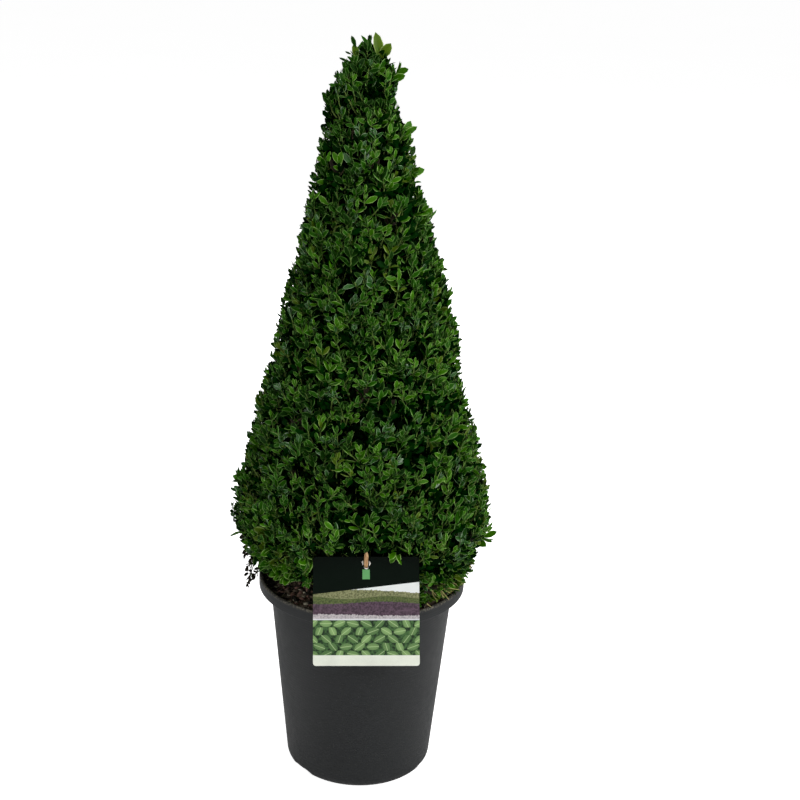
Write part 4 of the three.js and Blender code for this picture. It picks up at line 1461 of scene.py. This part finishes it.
def printed_leaves():
    """Close rows of plain leaf ovals, each with its own slant, size and tone, over dark green."""
    made, tree, shader = finish("card_leaves", 0.36, specular=0.25)
    place = spot_on_card(tree)
    up = calc(tree, "MULTIPLY", place[1], OVALS_UP)
    row = calc(tree, "FLOOR", up)
    shift = calc(tree, "MULTIPLY", calc(tree, "MODULO", row, 2), 0.5)
    across = calc(tree, "ADD", calc(tree, "MULTIPLY", place[0], OVALS_ACROSS), shift)
    cell = add(tree, "CombineXYZ", {"X": calc(tree, "FLOOR", across), "Y": row}).outputs[0]
    noisy = add(tree, "TexWhiteNoise", {"Vector": cell}).outputs["Color"]
    chance = add(tree, "SeparateColor", {"Color": noisy}).outputs
    x = calc(tree, "SUBTRACT", calc(tree, "FRACT", across), 0.5)
    y = calc(tree, "MULTIPLY", calc(tree, "SUBTRACT", calc(tree, "FRACT", up), 0.5), OVALS_ACROSS / OVALS_UP)
    slant = calc(tree, "MULTIPLY", calc(tree, "SUBTRACT", chance[0], 0.5), 2.6)
    cosine, sine = calc(tree, "COSINE", slant), calc(tree, "SINE", slant)
    along = calc(tree, "ADD", calc(tree, "MULTIPLY", x, cosine), calc(tree, "MULTIPLY", y, sine))
    wide = calc(tree, "SUBTRACT", calc(tree, "MULTIPLY", y, cosine), calc(tree, "MULTIPLY", x, sine))
    flank = calc(tree, "ABSOLUTE", wide)
    size = calc(tree, "ADD", calc(tree, "POWER", calc(tree, "MULTIPLY", along, 2.1), 2),
                calc(tree, "POWER", calc(tree, "MULTIPLY", wide, 3.6), 2))
    oval = ramp(tree, size, 0.80, 0.98, 1, 0)
    rib = ramp(tree, flank, 0.012, 0.03, 0.8, 0)
    veins = calc(tree, "SINE", calc(tree, "MULTIPLY", calc(tree, "SUBTRACT", along, flank), 70))
    vein = ramp(tree, veins, 0.75, 1, 0, 0.35)
    tone = mixed(tree, chance[1], srgb(60, 98, 48), srgb(126, 160, 98))
    shaded = mixed(tree, ramp(tree, size, 0.2, 0.9, 0, 0.45), tone, srgb(44, 80, 40))
    veined = mixed(tree, calc(tree, "MAXIMUM", rib, vein), shaded, srgb(176, 200, 144))
    gap = mixed(tree, ramp(tree, cloudy(tree, 300, 3), 0.4, 0.6), srgb(16, 36, 16), srgb(62, 96, 52))
    tree.links.new(mixed(tree, oval, gap, veined), shader["Base Color"])
    return made


# Printed ridges: crest's height and swing as shares of the card, its waves and their start, light, dark
RIDGES = [
    (0.682, 0.022, 3.0, 0.5, srgb(136, 138, 98), srgb(88, 92, 60)),
    (0.632, 0.014, 8.0, 2.2, srgb(92, 104, 56), srgb(58, 70, 38)),
    (0.584, 0.012, 6.0, 4.0, srgb(90, 70, 84), srgb(58, 44, 54)),
    (0.474, 0.006, 5.0, 1.0, srgb(190, 182, 184), srgb(150, 146, 148)),
]


def printed_hills():
    """Soft rolling ridges under a pale sky: olive, then plum brown, then pale grey."""
    made, tree, shader = finish("card_hills", 0.36, specular=0.25)
    x, y, _ = spot_on_card(tree)
    rough = cloudy(tree, 500, 4)
    edge = calc(tree, "MULTIPLY", calc(tree, "SUBTRACT", rough, 0.5), 0.03)
    colour = srgb(222, 226, 224)
    for middle, swing, waves, start, light, dark in RIDGES:
        wave = calc(tree, "SINE", calc(tree, "ADD", calc(tree, "MULTIPLY", x, waves), start))
        crest = calc(tree, "ADD", calc(tree, "MULTIPLY", wave, swing), middle)
        below = calc(tree, "SUBTRACT", calc(tree, "ADD", crest, edge), y)
        tone = mixed(tree, ramp(tree, rough, 0.4, 0.6), dark, light)
        colour = mixed(tree, ramp(tree, below, 0, 0.004), colour, tone)
    tree.links.new(colour, shader["Base Color"])
    return made


def slot_cutter():
    """The slot's space, round at both ends, where it goes through the flat card."""
    shape = bmesh.new()
    half, reach = SLOT_WIDTH / 2, (SLOT_LENGTH - SLOT_WIDTH) / 2
    outline = arc(0, SLOT_UP + reach, half, 0, 180, 12) + arc(0, SLOT_UP - reach, half, 180, 360, 12)
    shape.faces.new([shape.verts.new((x, y, -CARD_THICKNESS * 2)) for x, y in outline])
    extruded(shape, (0, 0, CARD_THICKNESS * 4))
    return piece_of("slot_cutter", shape, [])


def build_card():
    shape = bmesh.new()
    card_outline(shape)
    foot = -CARD_HEIGHT / 2
    for up in (CREAM_TOP, LEAVES_TOP, LINE_TOP):
        split_at(shape, (0, foot + up, 0), (0, 1, 0))
    split_at(shape, (0, foot + HEAD_LOW, 0), Vector((-HEAD_SLANT, 1, 0)).normalized())
    for side in (-1, 1):
        split_at(shape, (side * SQUARE_SIDE / 2, 0, 0), (1, 0, 0))
    for drop in (SQUARE_TOP_DROP, SQUARE_TOP_DROP + SQUARE_HEIGHT):
        split_at(shape, (0, CARD_HEIGHT / 2 - drop, 0), (0, 1, 0))
    for face in shape.faces:
        middle = face.calc_center_median()
        face.material_index = band_of(middle.x, middle.y)
    extruded(shape, (0, 0, -CARD_THICKNESS))
    bands = [
        printed("card_cream", srgb(228, 232, 218)),
        printed_leaves(),
        printed("card_line", srgb(214, 214, 218)),
        printed_hills(),
        printed("card_head", srgb(4, 14, 7), specular=0.06),
        printed("card_square", srgb(96, 160, 98)),
    ]
    card = piece_of("picture_card", shape, bands, 30)
    cut(card, slot_cutter())
    card_uv(card)
    card.data.transform(card_place())
    in_place(card, "card_print", "label_card")


def torn_flap(name, across, up, turn, length, width, material):
    """A scrap of the card's white core, torn and curled up at the slot's edge."""
    shape = bmesh.new()
    bmesh.ops.create_grid(shape, x_segments=6, y_segments=3, size=0.5)
    for vert in shape.verts:
        x, y = vert.co.x, vert.co.y + 0.5
        ragged = 1 + 0.7 * noise.noise(Vector((x * 9, y * 3, turn)))
        narrow = math.cos(x * math.pi * 0.8)
        vert.co = (x * length, y * width * narrow * ragged, 0.35 * width * y**1.5)
    bmesh.ops.solidify(shape, geom=shape.faces[:], thickness=FLAP_THICKNESS)
    place = Matrix.Translation((across, SLOT_UP + up, FLAP_THICKNESS))
    bmesh.ops.transform(shape, matrix=place @ Matrix.Rotation(math.radians(turn), 4, "Z"), verts=shape.verts)
    bmesh.ops.transform(shape, matrix=card_place(), verts=shape.verts)
    bmesh.ops.recalc_face_normals(shape, faces=shape.faces)
    in_place(piece_of(name, shape, [material], 60), "card_print")


def build_flaps():
    paper = printed("torn_paper", srgb(236, 236, 230), 0.8)
    for side, (across, up, turn, length, width) in TORN_FLAPS.items():
        torn_flap("torn_flap_" + side, across, up, turn, length, width, paper)


def build_pick():
    below = (slot_place().z - SOIL_EDGE_Z) / math.sin(math.radians(PICK_RISE)) + PICK_SUNK
    rise = below + PICK_PROUD - PICK_POINT
    shaft = [(PICK_RADIUS, -below + rise * i / PICK_RINGS) for i in range(PICK_RINGS + 1)]
    point = [
        (PICK_RADIUS * 0.86, PICK_PROUD - PICK_POINT * 0.62),
        (PICK_RADIUS * 0.58, PICK_PROUD - PICK_POINT * 0.26),
        (PICK_RADIUS * 0.30, PICK_PROUD),
        (0, PICK_PROUD),
    ]
    shape = spun([(0, -below), *shaft, *point], PICK_SIDES)
    for vert in shape.verts:
        x, y, z = vert.co
        split = 1 + PICK_SPLITS * noise.noise(Vector((x * 900, y * 900, z * 40)))
        vert.co.x *= split
        vert.co.y *= split
    bmesh.ops.transform(shape, matrix=pick_place(), verts=shape.verts)
    in_place(piece_of("wooden_pick", shape, [pick_wood()], 50), "pick_wood", "label_pick")


# Stage

def build_floor():
    """A wide pale floor, a little brighter to the eye than the light on it."""
    shape = bmesh.new()
    bmesh.ops.create_grid(shape, x_segments=1, y_segments=1, size=FLOOR_HALF_SIDE)
    made, tree, shader = finish("pale_floor", 0.9, specular=0.1)
    dark, pale, glow = ((value, value, value, 1) for value in FLOOR_GREYS)
    tone = use(tree, MOTTLE, Dark=dark, Light=pale, Patch_Scale=1, Grain_Scale=9)
    tree.links.new(tone["Color"], shader["Base Color"])
    shader["Emission Color"].default_value = glow
    tree.links.new(add(tree, "LightPath").outputs["Is Camera Ray"], shader["Emission Strength"])
    floor = piece_of("floor", shape, [made])


def soft_light(name, place, watts, glossy):
    """A square soft light that faces the plant's middle."""
    light = bpy.data.lights.new(name, "AREA")
    light.size = LIGHT_SIDE
    light.energy = watts
    lamp = bpy.data.objects.new(name, light)
    lamp.location = place
    lamp.rotation_euler = (Vector(LIGHTS_AIM) - Vector(place)).to_track_quat("-Z", "Y").to_euler()
    lamp.visible_glossy = glossy
    scene.collection.objects.link(lamp)


def build_studio():
    """Even light from all round, the strongest soft light high at the right, weaker ones left and behind."""
    world = bpy.data.worlds.new("studio")
    world.use_nodes = True
    tree = world.node_tree
    lit = tree.nodes["Background"]
    lit.inputs["Color"].default_value = (1, 1, 1, 1)
    lit.inputs["Strength"].default_value = LIGHT_ALL_ROUND
    backdrop = add(tree, "Background", {"Color": (1, 1, 1, 1), "Strength": 1.0})
    seen = add(tree, "LightPath").outputs["Is Camera Ray"]
    both = add(tree, "MixShader", {0: seen, 1: lit.outputs[0], 2: backdrop.outputs[0]})
    tree.links.new(both.outputs[0], tree.nodes["World Output"].inputs["Surface"])
    scene.world = world
    for name, settings in LIGHTS.items():
        soft_light(name, *settings)


def build_camera():
    camera = bpy.data.cameras.new("camera")
    camera.sensor_width = SENSOR_MM
    camera.lens = LENS_PIXELS / IMAGE_SIDE * SENSOR_MM
    camera.shift_x = (IMAGE_SIDE / 2 - AXIS_PIXEL_X) / IMAGE_SIDE
    eye = bpy.data.objects.new("camera", camera)
    down = Matrix.Rotation(math.radians(90 - CAMERA_DOWN), 4, "X")
    roll = Matrix.Rotation(math.radians(CAMERA_ROLL), 4, "Z")
    eye.matrix_world = Matrix.Translation(CAMERA_AT) @ down @ roll
    scene.collection.objects.link(eye)
    scene.camera = eye
    scene.view_settings.view_transform = "Standard"


build_camera()
build_studio()
build_floor()
build_pot()
build_soil()
build_mulch()
build_stem()
build_crown()
build_card()
build_flaps()
build_pick()
